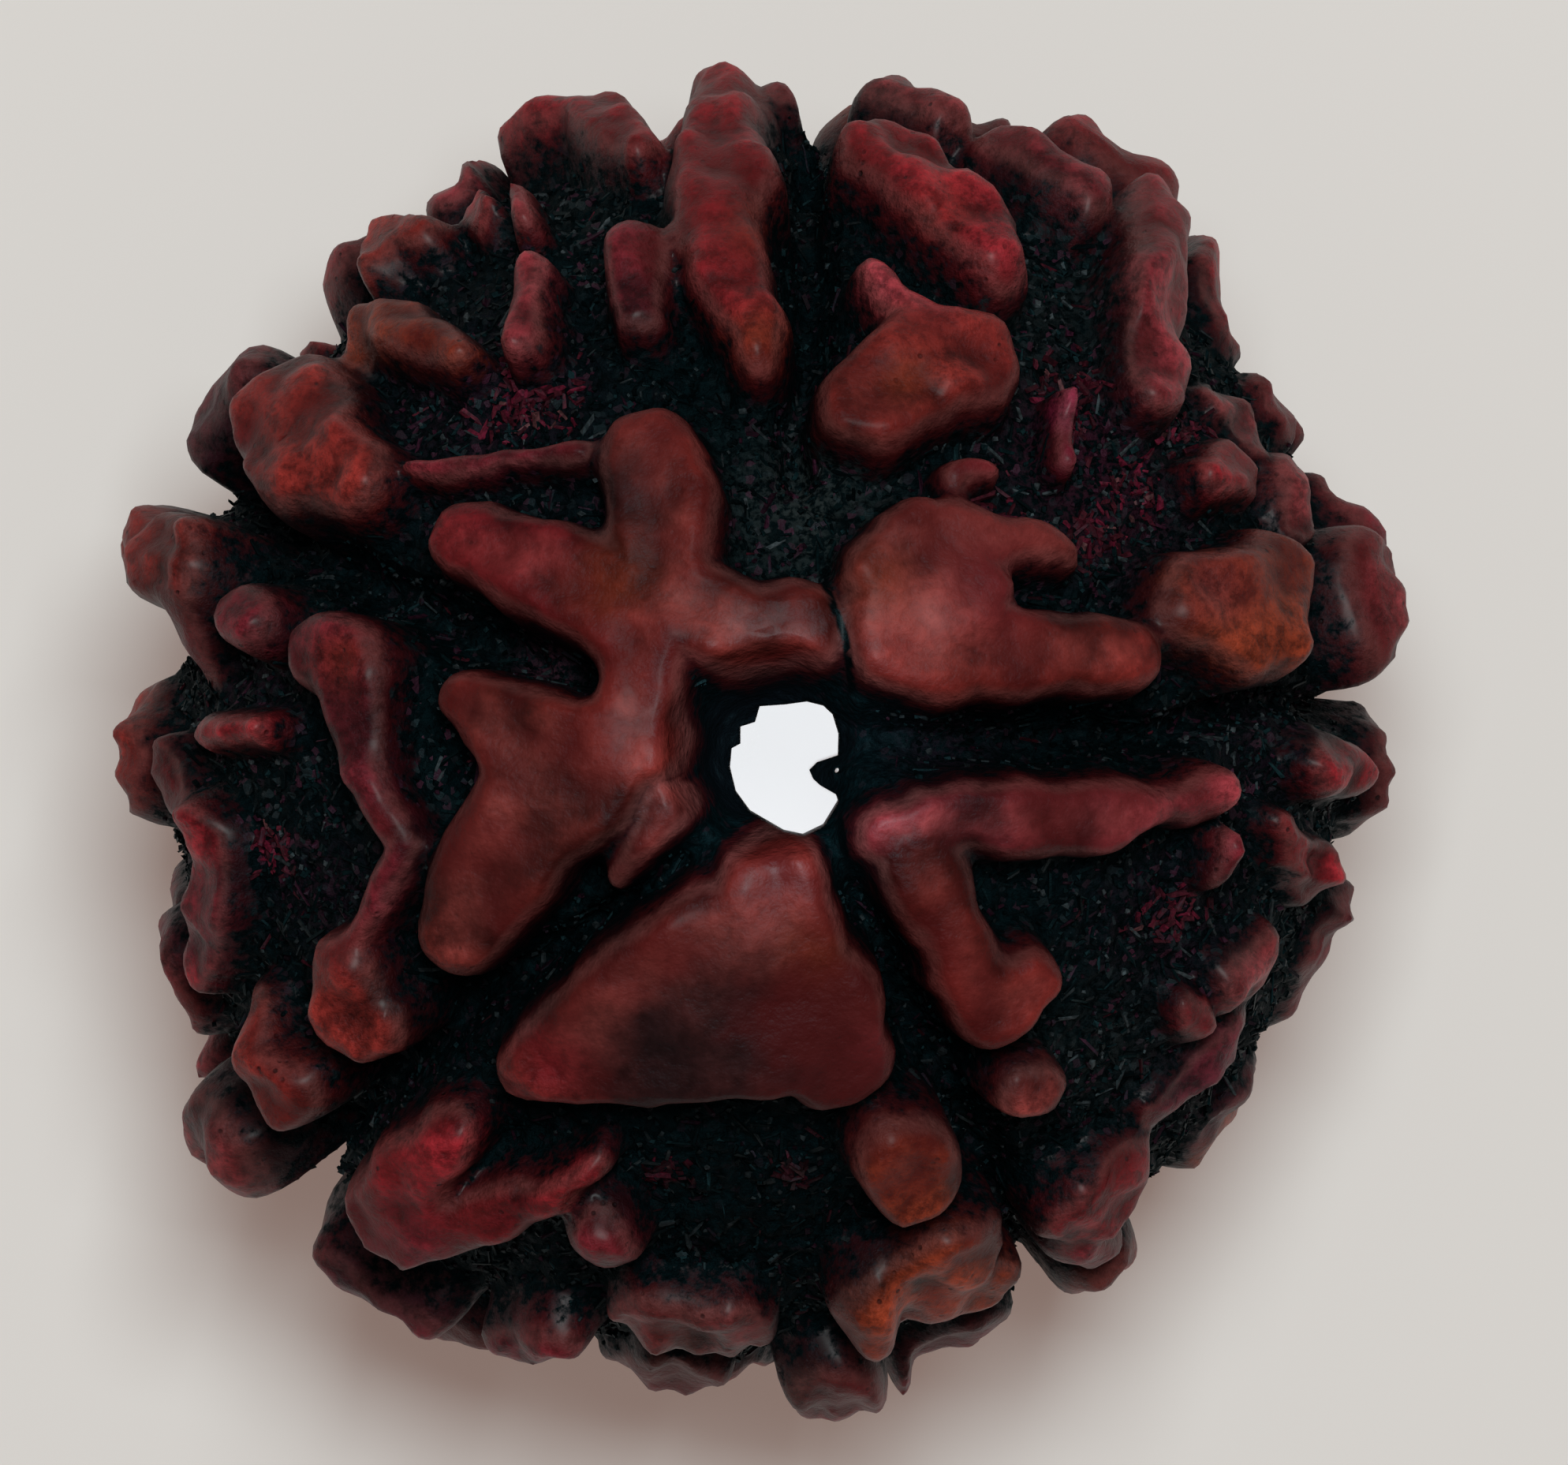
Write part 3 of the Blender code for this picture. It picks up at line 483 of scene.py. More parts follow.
def near_line(places, line, reach):
    """Numbers of the places that lie within reach of a line."""
    corners = np.array([place for place, width in line])
    middle = corners.mean(axis=0)
    radius = np.linalg.norm(corners - middle, axis=1).max() + reach
    return np.nonzero(((places - middle) ** 2).sum(axis=1) < radius * radius)[0]


def net_at(places):
    """Height of the net, distance inside its edge, half width and colour, for every place."""
    lift = np.zeros(len(places))
    half_width = np.full(len(places), SHOULDER)
    inside = np.full(len(places), OUTSIDE)
    weight = np.full(len(places), LEAST_PULL)
    tone = np.outer(weight, TONES["maroon"])
    for name, line in net:
        near = near_line(places, line, TONE_REACH + max(width for _, width in line))
        distance, width = along_line(places[near], line)
        shoulder = np.minimum(width, SHOULDER)
        down = 1.0 - np.clip((width - distance) / shoulder, 0.0, 1.0)
        top = PAD_HEIGHT * width / (width + SLIM_WIDTH)
        here = top * (1.0 - down ** SHOULDER_ROLL) ** SHOULDER_RISE
        lift[near] = np.maximum(lift[near], here)
        deeper = width - distance > inside[near]
        half_width[near] = np.where(deeper, width, half_width[near])
        inside[near] = np.maximum(inside[near], width - distance)
        pull = np.exp(np.clip((width - distance) / TONE_BLEND, *PULL_LIMITS))
        weight[near] += pull
        tone[near] += pull[:, None] * np.array(TONES[name])
    return lift, inside, half_width, tone / weight[:, None]


print("The palette has", len(TONES), "tones:", ", ".join(TONES))

# %% [markdown]
# The grooves, the two funnels of the hole and the rim work the other way: they take
# height away. The rim's share comes from the outline, so that a knob on the rim ends
# where the real one does.

# %% Grooves, funnels and rim
MOUTH_RADIUS = 1.75
MOUTH_DEPTH = 2.6
MOUTH_CURVE = 3.0
UPPER_MOUTH = (-0.25, 0.3)
LOWER_MOUTH = (0.15, -0.1)


def rim_share(places):
    """How much of its full height the net keeps round the rim, by the outline."""
    corners = np.array(OUTLINE) - np.array(STONE_CENTRE)
    azimuths = np.degrees(np.arctan2(corners[:, 1], corners[:, 0])) % 360.0
    order = np.argsort(azimuths)
    reaches = np.hypot(corners[:, 0], corners[:, 1])[order]
    place_azimuths = np.degrees(np.arctan2(places[:, 1], places[:, 0]))
    outline = np.max([np.interp((place_azimuths + turn) % 360.0, azimuths[order], reaches,
                                period=360.0) for turn in (-RIM_PEAK, 0.0, RIM_PEAK)], axis=0)

    turns = np.radians(place_azimuths - STONE_TURN)
    stone = 1.0 / np.hypot(np.cos(turns) / STONE_LONG_RADIUS, np.sin(turns) / STONE_SHORT_RADIUS)
    share = np.clip((outline - stone) / FULL_LIFT, LEAST_SHARE, MOST_SHARE)
    heights = np.clip(places[:, 2] / NET_RADII[2], -1.0, 1.0)
    latitudes = np.abs(np.degrees(np.arcsin(heights)))
    near_rim = 1.0 - np.clip((latitudes - RIM_LATITUDE) / RIM_FADE, 0.0, 1.0)
    return 1.0 + (share - 1.0) * near_rim


def groove_sink(places):
    """Depth of the grooves below the valleys."""
    sink = np.zeros(len(places))
    for groove in grooves:
        near = near_line(places, groove, TONE_REACH)
        distance, width = along_line(places[near], groove)
        share = np.clip(distance / width, 0.0, 1.0)
        sink[near] = np.maximum(sink[near], GROOVE_DEPTH * (1.0 - share * share))
    return sink


def mouth_sink(places):
    """Depth of the funnels round both mouths of the thread hole."""
    sink = np.zeros(len(places))
    for mouth, side in ((UPPER_MOUTH, 1.0), (LOWER_MOUTH, -1.0)):
        middle = np.array(mouth) - np.array(STONE_CENTRE)
        away = np.linalg.norm(places[:, :2] - middle, axis=1)
        share = np.clip(away / MOUTH_RADIUS, 0.0, 1.0)
        facing = places[:, 2] * side > 0.0
        funnel = MOUTH_DEPTH * (1.0 - share ** MOUTH_CURVE)
        sink = np.where(facing, np.maximum(sink, funnel), sink)
    return sink


print("The funnels sink", MOUTH_DEPTH, "mm and the grooves", GROOVE_DEPTH, "mm")

# %% [markdown]
# The net was drawn with clean edges, but real ones waver and fray. Two noises, one of a
# millimetre and one of half of that, shift each place a little before the net is asked
# for its height there. Points are moved as arrays, all at once, and modifiers are added
# and applied as by hand.

# %% Helpers for points and modifiers
WAVER = 0.16
WAVER_SIZE = 1.1
WAVER_SHIFT = 20.0
FRAY = 0.1
FRAY_SIZE = 0.5
FRAY_SHIFT = 35.0

noise.seed_set(SEED)


def unit_rows(rows):
    """Each row of an array as a direction of length one."""
    return rows / np.linalg.norm(rows, axis=1)[:, None]


def noise_at(places, size, shift):
    """Smooth noise vectors with features of about the given size."""
    moved = (places + shift) / size
    return np.array([noise.noise_vector(Vector(place)) for place in moved])


def wavered(places):
    """The places, shifted a little so that drawn edges waver."""
    return places + WAVER * noise_at(places, WAVER_SIZE, WAVER_SHIFT)


def frayed(places):
    """The places, shifted a little so that drawn edges fray."""
    return places + FRAY * noise_at(places, FRAY_SIZE, FRAY_SHIFT)


def points_of(item):
    """All the points of a mesh object, in millimetres."""
    points = np.empty(len(item.data.vertices) * 3)
    item.data.vertices.foreach_get("co", points)
    return points.reshape(-1, 3) / MM


def put_points(item, points):
    """Moves all the points of a mesh object, given in millimetres."""
    item.data.vertices.foreach_set("co", (points * MM).ravel())
    item.data.update()


def start_clean():
    """Nothing stays selected, so that an operator acts on the new piece alone."""
    bpy.ops.object.select_all(action="DESELECT")


def apply_modifier(item, kind, **settings):
    """Adds one modifier with its settings and applies it."""
    start_clean()
    item.select_set(True)
    bpy.context.view_layer.objects.active = item
    bpy.ops.object.modifier_add(type=kind)
    modifier = item.modifiers[-1]
    for name, value in settings.items():
        setattr(modifier, name, value)
    bpy.ops.object.modifier_apply(modifier=modifier.name)


print("Edges waver by up to", WAVER, "mm and fray by up to", FRAY, "mm")

# %% [markdown]
# The skin starts as a ball of many even faces, an ico sphere, because that has no poles
# that would pinch. Each of its points is pushed out along the stone's own normal. The
# flanks of the pads come out stretched that way, so a voxel remesh then lays even faces
# over them, and a light smooth takes off its steps. Sculpting by hand could do the
# same, but not twice alike.

# %% Raise the net from a ball
GRAIN = 0.07
GRAIN_SIZE = 0.7
GRAIN_SHIFT = 50.0
BALL_SUBDIVISIONS = 8
SKIN_VOXEL = 0.125
SOFTEN = 0.5
SOFTEN_TURNS = 3


def normal_at(unit):
    """The stone's own normal at each direction."""
    return unit_rows(unit / STONE_RADII)


start_clean()
bpy.ops.mesh.primitive_ico_sphere_add(subdivisions=BALL_SUBDIVISIONS, radius=1.0)
skin = bpy.context.active_object
skin.name = "bead_skin"
skin.data.name = "bead_skin"

units = unit_rows(points_of(skin))
places = wavered((units * NET_RADII) @ STONE_AXES)
lift = net_at(frayed(places))[0] * rim_share(places)
clear_of_net = 1.0 - np.clip(lift / GROOVE_CLEARING, 0.0, 1.0)
sink = groove_sink(places) * clear_of_net + mouth_sink(places)
grain = GRAIN * noise_at(places, GRAIN_SIZE, GRAIN_SHIFT)[:, 0]
put_points(skin, units * STONE_RADII + normal_at(units) * (lift - sink + grain)[:, None])

apply_modifier(skin, "REMESH", mode="VOXEL", voxel_size=SKIN_VOXEL * MM)
apply_modifier(skin, "SMOOTH", factor=SOFTEN, iterations=SOFTEN_TURNS)
print("The raised skin has", len(skin.data.polygons), "faces")

# %% [markdown]
# The fine relief comes after the remesh, which would blur it. For each point of the new
# skin the foot on the stone below it is found, by going down the normal a few times
# until it settles. That gives the same measures as before: the distance inside the
# edge, the ridge's half width and its colour. How high a point stands, whether it is on
# the upper face, and how polished it is, by its distance from the middle, join them.

# %% Measure the skin
FOOT_TURNS = 6
POLISHED_RADIUS = (5.2, 8.0)


def smooth_step(value, low, high):
    """Zero below low, one above high, and a smooth rise between them."""
    share = np.clip((value - low) / (high - low), 0.0, 1.0)
    return share * share * (3.0 - 2.0 * share)


def foot_of(points):
    """Foot of each point on the stone, as a direction, with the normal and height there."""
    unit = unit_rows(points / STONE_RADII)
    for _ in range(FOOT_TURNS):
        normal = normal_at(unit)
        height = ((points - unit * STONE_RADII) * normal).sum(axis=1)
        unit = unit_rows((points - normal * height[:, None]) / STONE_RADII)
    return unit, normal, height


def measure(points):
    """Everything that the relief and the colours need to know about each point."""
    unit, normal, height = foot_of(points)
    places = (unit * NET_RADII) @ STONE_AXES
    _, inside, half_width, tone = net_at(frayed(wavered(places)))
    from_above = (points @ STONE_AXES)[:, :2] + np.array(STONE_CENTRE)
    polish = 1.0 - smooth_step(np.hypot(from_above[:, 0], from_above[:, 1]), *POLISHED_RADIUS)
    return {
        "normal": normal, "height": height, "places": places, "from_above": from_above,
        "inside": inside, "half_width": half_width, "tone": tone, "polish": polish,
        "upper": places[:, 2] > 0.0,
    }


points = points_of(skin)
facts = measure(points)
print("The highest knob stands", round(facts["height"].max(), 2), "mm above the stone")

# %% [markdown]
# With these measures the ground gets its granules and fibres, the broad pads near the
# hole a slight dish, and the outer knobs their lumps and dents. The pads were rubbed
# smooth by wear, so they get only a part of the lumps.

# %% Fine relief
RIDGE_EDGE = (0.0, 0.3)
GROUND_EDGE = (-0.12, 0.16)
DISH_DEPTH = 0.1
DISH_EDGE = (0.35, 1.1)
LUMP_SIZE = 0.95
LUMP = 0.32
LUMP_SHIFT = 70.0
LUMPS_ON_PADS = 0.25
DENT_SIZE = 0.42
DENT = 0.075
DENT_SHIFT = 90.0
DENTS_ON_PADS = 0.3
GRANULE_SIZE = 0.36
GRANULE = 0.15
GRANULE_GAIN = 1.6
GRANULE_ROUND = 0.7
GRANULE_LEVEL = 0.5
FIBRE = 0.14
FIBRE_SIZE = 0.3
FIBRE_SHIFT = 5.0
FIBRE_GRAIN = np.array([1.0, 1.0, 0.35])


def granules_at(places):
    """Round grains packed side by side: one on top of each, zero between them."""
    near = np.array([noise.voronoi(Vector(place))[0] for place in places / GRANULE_SIZE])
    return np.clip((near[:, 1] - near[:, 0]) * GRANULE_GAIN, 0.0, 1.0) ** GRANULE_ROUND


def lumps_at(facts):
    """Soft lumps of a knob's own size."""
    return noise_at(facts["places"], LUMP_SIZE, LUMP_SHIFT)[:, 1]


def dents_at(facts):
    """Dents of about half that size."""
    return noise_at(facts["places"], DENT_SIZE, DENT_SHIFT)[:, 2]


def on_pads(share, facts):
    """Grows from a share on the polished pads to one on the outer knobs."""
    return share + (1.0 - share) * (1.0 - facts["polish"])


ridge = smooth_step(facts["inside"], *RIDGE_EDGE)
ground = 1.0 - smooth_step(facts["inside"], *GROUND_EDGE)
dish = DISH_DEPTH * smooth_step(facts["inside"], *DISH_EDGE) * facts["polish"]
lumps = on_pads(LUMPS_ON_PADS, facts) * (LUMP * lumps_at(facts))
dents = on_pads(DENTS_ON_PADS, facts) * (DENT * dents_at(facts))
granules = GRANULE * (granules_at(points) - GRANULE_LEVEL)
fibres = FIBRE * noise_at(points * FIBRE_GRAIN, FIBRE_SIZE, FIBRE_SHIFT)[:, 0]
relief = ridge * (lumps + dents) - dish
relief += ground * (granules + fibres)
put_points(skin, points + facts["normal"] * relief[:, None])
print("Fine relief runs from", round(relief.min(), 2), "to", round(relief.max(), 2), "mm")

# %% [markdown]
# The skin is thinned to about 186,000 triangles. The finished piece has to stay under
# 200,000 triangles. Decimate keeps faces where the surface is rough and saves them on
# the smooth pads, so little is lost. Then the skin is brought to the frame: turned back
# from the stone's axes, with the middle of its outline and its highest point where the
# plain solid has them, and pressed flat on the few small spots that the bead rests on.

# %% Bring the skin to the frame
SKIN_TRIANGLES = 186000


def triangle_count(item):
    """Triangles of a mesh object."""
    item.data.calc_loop_triangles()
    return len(item.data.loop_triangles)


apply_modifier(skin, "DECIMATE", ratio=min(1.0, SKIN_TRIANGLES / triangle_count(skin)))
points = points_of(skin) @ STONE_AXES
low, high = points.min(axis=0), points.max(axis=0)
cad_middle = (cad_low + cad_high) / 2.0
middle = (low + high) / 2.0
TO_FRAME = np.array([cad_middle[0] - middle[0], cad_middle[1] - middle[1], cad_high[2] - high[2]])
points = points + TO_FRAME
print("The skin reached", round(points[:, 2].min(), 3), "mm before it was pressed flat")
points[:, 2] = np.maximum(points[:, 2], 0.0)
put_points(skin, points)
HOLE_AXIS = TO_FRAME[:2] - np.array(STONE_CENTRE)
print("The hole's axis stands at", np.round(HOLE_AXIS, 3), "mm")

# %% [markdown]
# The thread hole isn't round at its narrowest: it has a ragged corner, and a nub of stone
# stands into it with a pinprick of light beside it. So the cutter is a flat outline with
# those corners, made thick, and a Boolean takes it out of the skin.

# %% Open the thread hole
HOLE_OUTLINE = [
    (-0.43, 1.07), (0.0, 1.1), (0.38, 1.15), (0.66, 1.08), (0.82, 0.93), (0.92, 0.6),
    (0.91, 0.23), (0.55, 0.11), (0.42, -0.02), (0.48, -0.16), (0.59, -0.26), (0.87, -0.42),
    (0.91, -0.54), (0.66, -0.95), (0.31, -1.12), (-0.02, -1.05), (-0.6, -0.71),
    (-0.84, -0.38), (-0.94, 0.03), (-0.91, 0.35), (-0.76, 0.43), (-0.76, 0.72),
    (-0.51, 0.8),
]
PINPRICK = (0.88, -0.02)
PINPRICK_RADIUS = 0.05
PINPRICK_SIDES = 8
MERGE_DISTANCE = 0.01 * MM


def add_outline(curve, corners):
    """Adds one closed outline to a flat curve, moved from the hole's axis to the frame."""
    spline = curve.splines.new("POLY")
    spline.points.add(len(corners) - 1)
    for point, (x, y) in zip(spline.points, corners):
        point.co = ((x + HOLE_AXIS[0]) * MM, (y + HOLE_AXIS[1]) * MM, 0.0, 1.0)
    spline.use_cyclic_u = True


hole_curve = bpy.data.curves.new("hole_outline", "CURVE")
hole_curve.dimensions = "2D"
hole_curve.fill_mode = "BOTH"
hole_curve.extrude = 2.0 * cad_high[2] * MM
add_outline(hole_curve, HOLE_OUTLINE)
circle = [2.0 * math.pi * side / PINPRICK_SIDES for side in range(PINPRICK_SIDES)]
add_outline(hole_curve, [(PINPRICK[0] + PINPRICK_RADIUS * math.cos(turn),
                          PINPRICK[1] + PINPRICK_RADIUS * math.sin(turn)) for turn in circle])
hole_cutter = bpy.data.objects.new("hole_cutter", hole_curve)
bpy.context.scene.collection.objects.link(hole_cutter)
start_clean()
hole_cutter.select_set(True)
bpy.context.view_layer.objects.active = hole_cutter
bpy.ops.object.convert(target="MESH")
bpy.ops.object.mode_set(mode="EDIT")
bpy.ops.mesh.select_all(action="SELECT")
bpy.ops.mesh.remove_doubles(threshold=MERGE_DISTANCE)
bpy.ops.mesh.normals_make_consistent(inside=False)
bpy.ops.object.mode_set(mode="OBJECT")
apply_modifier(skin, "BOOLEAN", object=hole_cutter, operation="DIFFERENCE", solver="MANIFOLD")
bpy.data.objects.remove(hole_cutter, do_unlink=True)
skin.data.shade_smooth()
print("With its hole the skin has", triangle_count(skin), "triangles")

# %% [markdown]
# Colour on a real bead isn't even: the same red-brown turns amber on one knob and
# crimson on the next, the big pad is smoky in its middle, and the ground between is now
# teal, now plum. These soft washes are listed one by one, each with its tone, its place
# seen from above, its radius and its strength. Painting them as an image would tie them
# to one size and one unwrapping.

# %% Washes of colour
WASH_FALL = 1.5
WASH_TONES = {
    **TONES,
    "smoke": (0.013, 0.006, 0.007),
    "husk brown": (0.055, 0.024, 0.020),
    "husk purple": (0.060, 0.014, 0.026),
    "teal": (0.0006, 0.0036, 0.0046),
    "ink": (0.0003, 0.0010, 0.0014),
    "plum": (0.0130, 0.0035, 0.0085),
    "ash": (0.0140, 0.0165, 0.0170),
    "pale ash": (0.026, 0.031, 0.031),
    "mauve": (0.050, 0.015, 0.026),
    "wine": (0.036, 0.005, 0.014),
    "dark wine": (0.032, 0.005, 0.013),
}
RIDGE_WASHES = [
    ("smoke", (-0.5, -4.5), 2.5, 0.95), ("smoke", (-2.0, -4.9), 1.5, 0.8),
    ("smoke", (0.9, -4.7), 1.2, 0.75), ("crimson", (-4.0, -5.0), 0.8, 0.8),
    ("magenta", (4.7, 5.8), 0.5, 0.9), ("rose", (1.6, -4.6), 0.5, 0.5),
    ("amber", (0.5, -3.0), 0.6, 0.7), ("smoke", (-2.6, 4.8), 0.7, 0.7),
    ("brick", (-1.3, 5.2), 0.7, 0.7), ("amber", (-0.4, 7.2), 0.7, 0.9),
    ("amber", (-0.5, 9.0), 0.6, 0.7), ("amber", (-2.9, 3.0), 0.8, 0.8),
    ("amber", (1.6, 3.1), 0.7, 0.7), ("amber", (2.0, 6.6), 0.6, 0.8),
    ("rose", (3.4, 3.0), 1.0, 0.6), ("rosewood", (7.2, 3.0), 0.7, 0.8),
    ("brick", (-7.4, 1.9), 0.6, 0.8), ("brick", (2.6, 9.4), 0.7, 0.6),
    ("brick", (-3.2, 0.9), 0.7, 0.5), ("husk brown", (-1.8, -9.8), 1.1, 0.8),
    ("husk brown", (-0.2, -10.6), 0.9, 0.7), ("husk brown", (5.4, -8.6), 0.9, 0.6),
    ("husk purple", (-6.6, -8.4), 1.3, 0.7), ("husk purple", (-9.6, 5.4), 0.8, 0.6),
    ("husk purple", (-10.3, -2.5), 1.3, 0.6), ("husk purple", (7.6, -5.6), 1.6, 0.7),
    ("rose", (4.2, 8.6), 0.9, 0.5), ("rose", (10.2, 3.0), 0.8, 0.6),
]
GROUND_WASHES = [
    ("pale ash", (0.3, 4.3), 1.4, 0.9), ("ink", (-0.1, 3.9), 0.3, 1.0),
    ("ink", (1.0, 4.0), 0.35, 1.0), ("plum", (2.7, 0.5), 1.0, 0.6),
    ("mauve", (-3.9, 1.7), 0.6, 1.0), ("plum", (-8.8, 1.4), 0.9, 0.9),
    ("plum", (-7.7, -2.0), 1.0, 0.8), ("plum", (-4.9, 6.0), 1.9, 0.8),
    ("wine", (4.8, 5.4), 1.3, 0.9), ("dark wine", (5.6, 4.2), 1.2, 0.7),
    ("plum", (6.3, -2.6), 1.4, 0.7), ("plum", (8.2, 0.4), 1.2, 0.7),
    ("plum", (6.8, -5.2), 1.2, 0.6), ("ash", (4.4, 7.8), 1.6, 0.5),
    ("ash", (5.3, -4.6), 1.4, 0.5), ("ink", (-4.2, 4.7), 0.6, 1.0),
    ("teal", (-5.7, 0.0), 0.9, 0.8), ("teal", (0.0, -7.4), 2.4, 0.6),
]


def away_from(place, radius, facts):
    """Distance of each point from a place seen from above, counted in radii."""
    return np.hypot(*(facts["from_above"] - np.array(place)).T) / radius


def washed(base, washes, facts):
    """A colour for every point, with the soft washes of the upper face laid over it."""
    colour = base.copy()
    for name, place, radius, strength in washes:
        fade = np.exp(-(away_from(place, radius, facts) ** 2) * WASH_FALL)
        share = strength * fade * facts["upper"]
        colour += share[:, None] * (np.array(WASH_TONES[name]) - colour)
    return colour


print(len(RIDGE_WASHES), "washes lie on the ridges and", len(GROUND_WASHES), "on the ground")

# %% [markdown]
# A ridge gets painted shade where its flank dives into the ground, and a polished pad a
# rosy painted highlight on its crest. The outer knobs are redder on their high spots and
# darker in their dents, partly from wear and partly as painted light and shade. The
# lumps of the relief are asked once more for this, so that colour and shape agree.

# %% Tones of the ridges
# Painted shade on the flanks, a painted highlight on the crests, and wear with painted light on
# the high spots.
FLANK_SHADE_LEVEL = 0.14
FLANK_WIDTH = 0.55
FLANK_SHARE = 0.75
PAD_FLANK = 0.2
CREST_INSIDE = (0.35, 0.75)
CREST_HIGHLIGHT_SHARE = 0.25
CREST_HIGHLIGHT_TONE = (0.26, 0.075, 0.068)
HIGH_SPOT_LIGHT_AND_WEAR_GAIN = 1.8
DENT_SHARE = 0.5
SPOT_LEVEL = 1.1
SPOT_LIMITS = (0.4, 2.0)
POLISHED_DARK = 0.27


def tones_with_painted_light_and_wear(facts):
    """The ridges' tones: painted shade on the flanks, a painted highlight on a crest, lit and
    worn high spots.
    """
    widest = FLANK_WIDTH + PAD_FLANK * facts["polish"]
    climb = facts["inside"] / np.minimum(widest, FLANK_SHARE * facts["half_width"])
    # Painted shade: the tone darkens down the flank toward the ground.
    flank = FLANK_SHADE_LEVEL + (1.0 - FLANK_SHADE_LEVEL) * smooth_step(climb, 0.0, 1.0)
    # Painted highlight: a polished pad's crest turns paler and rosier.
    crest = smooth_step(facts["inside"], *CREST_INSIDE) * facts["polish"] * CREST_HIGHLIGHT_SHARE
    # Wear and painted light together: redder on the lumps' high spots, darker in the dents.
    height = lumps_at(facts) + DENT_SHARE * dents_at(facts)
    spots = np.clip(SPOT_LEVEL + HIGH_SPOT_LIGHT_AND_WEAR_GAIN * height, *SPOT_LIMITS)
    tone = facts["tone"] + crest[:, None] * (np.array(CREST_HIGHLIGHT_TONE) - facts["tone"])
    calm = 1.0 - POLISHED_DARK * facts["polish"]
    return tone * (flank * spots * calm)[:, None]


print("A flank keeps", FLANK_SHADE_LEVEL, "of its ridge's tone at the foot")

# %% [markdown]
# The ground isn't the same all over either. In some places it is thick with pale flecks
# of husk, and in others nearly black. Beside the hole two hairline cracks run between
# the pads. They are finer than the mesh, so each point keeps its distance to them, and
# the finish draws the line.

# %% Busy ground and cracks
BUSY_SPOTS = [
    ((4.4, 8.0), 2.0), ((5.0, 5.0), 2.2), ((-5.0, 6.0), 2.2), ((6.0, -3.6), 2.4),
    ((0.2, 4.3), 1.4), ((-6.0, 0.5), 1.5), ((-8.6, -0.5), 2.0), ((7.6, 0.3), 1.3),
    ((-3.6, 8.6), 1.4), ((-7.6, -4.8), 1.2),
]
BUSY_BELOW = 0.5
CRACKS = [
    [(1.12, 1.3), (1.05, 1.85), (1.0, 2.2), (0.85, 2.6), (0.68, 3.05), (0.6, 3.5)],
    [(0.9, -0.8), (0.97, -1.3), (1.08, -1.9)],
]
CRACK_LIMIT = 1.0


def spots_at(spots, facts):
    """How near each point of the upper face is to any of some round spots, zero to one."""
    nearest = np.zeros(len(facts["upper"]))
    for place, radius in spots:
        nearest = np.maximum(nearest, np.exp(-(away_from(place, radius, facts) ** 2)))
    return nearest * facts["upper"]


def crack_distance(facts):
    """Distance to the nearest of the hairline cracks, in millimetres."""
    nearest = np.full(len(facts["upper"]), CRACK_LIMIT)
    for crack in CRACKS:
        distance, _ = along_line(facts["from_above"], [(np.array(place), 1.0) for place in crack])
        nearest = np.minimum(nearest, distance)
    return np.where(facts["upper"], nearest, CRACK_LIMIT)


print(len(BUSY_SPOTS), "busy spots and", len(CRACKS), "cracks are written down")

# %% [markdown]
# All of this is kept with the mesh, as colours and numbers for each of its points, and
# the finish reads them back by name. The hole gets painted shade from a certain depth on,
# and on a slim ridge the way to the edge counts for more, so that its crest gets its full
# colour.

# %% Keep the colours with the mesh
SLIM_RIDGE = 0.45
SLIM_GAIN_LIMIT = 2.0
# Depths over which the hole's funnel takes its painted shade:
MOUTH_SHADE_DEPTHS = (-1.6, -0.7)


def keep_number(item, name, values):
    """Keeps one number for each point of a mesh."""
    layer = item.data.attributes.new(name, "FLOAT", "POINT")
    layer.data.foreach_set("value", np.asarray(values, dtype=np.float32))


def keep_colour(item, name, values):
    """Keeps one colour for each point of a mesh."""
    layer = item.data.color_attributes.new(name, "FLOAT_COLOR", "POINT")
    rgba = np.hstack([values, np.ones((len(values), 1))]).astype(np.float32)
    layer.data.foreach_set("color", rgba.ravel())


points = points_of(skin)
facts = measure((points - TO_FRAME) @ STONE_AXES.T)
busy = np.where(facts["upper"], spots_at(BUSY_SPOTS, facts), BUSY_BELOW)
bare_ground = np.tile(WASH_TONES["teal"], (len(points), 1))
slim_gain = np.clip(SLIM_RIDGE / facts["half_width"], 1.0, SLIM_GAIN_LIMIT)
keep_colour(skin, "ridge_tone", washed(tones_with_painted_light_and_wear(facts), RIDGE_WASHES, facts))
keep_colour(skin, "ground_tone", washed(bare_ground, GROUND_WASHES, facts))
keep_number(skin, "inside", facts["inside"] * slim_gain)
keep_number(skin, "polish", facts["polish"])
keep_number(skin, "busy", busy)
keep_number(skin, "crack", crack_distance(facts))
# Where the painted shade of the hole lies, by depth below the stone.
keep_number(skin, "mouth", 1.0 - smooth_step(facts["height"], *MOUTH_SHADE_DEPTHS))
print("Each of", len(points), "points keeps two colours and five numbers")

# %% [markdown]
# Materials are written as sums. A socket is wrapped in a small class that knows how to
# add, take away and multiply, so that a mask reads like arithmetic.

# %% Sums on sockets


class Wire:
    """One output socket of a material, on which sums can be written."""

    def __init__(self, paint, socket):
        self.paint = paint
        self.socket = socket

    def __add__(self, other):
        return self.paint.sum("ADD", self, other)

    def __sub__(self, other):
        return self.paint.sum("SUBTRACT", self, other)

    def __rsub__(self, other):
        return self.paint.sum("SUBTRACT", other, self)

    def __mul__(self, other):
        return self.paint.sum("MULTIPLY", self, other)

    __radd__ = __add__
    __rmul__ = __mul__


print("A wire can be added, taken away and multiplied")

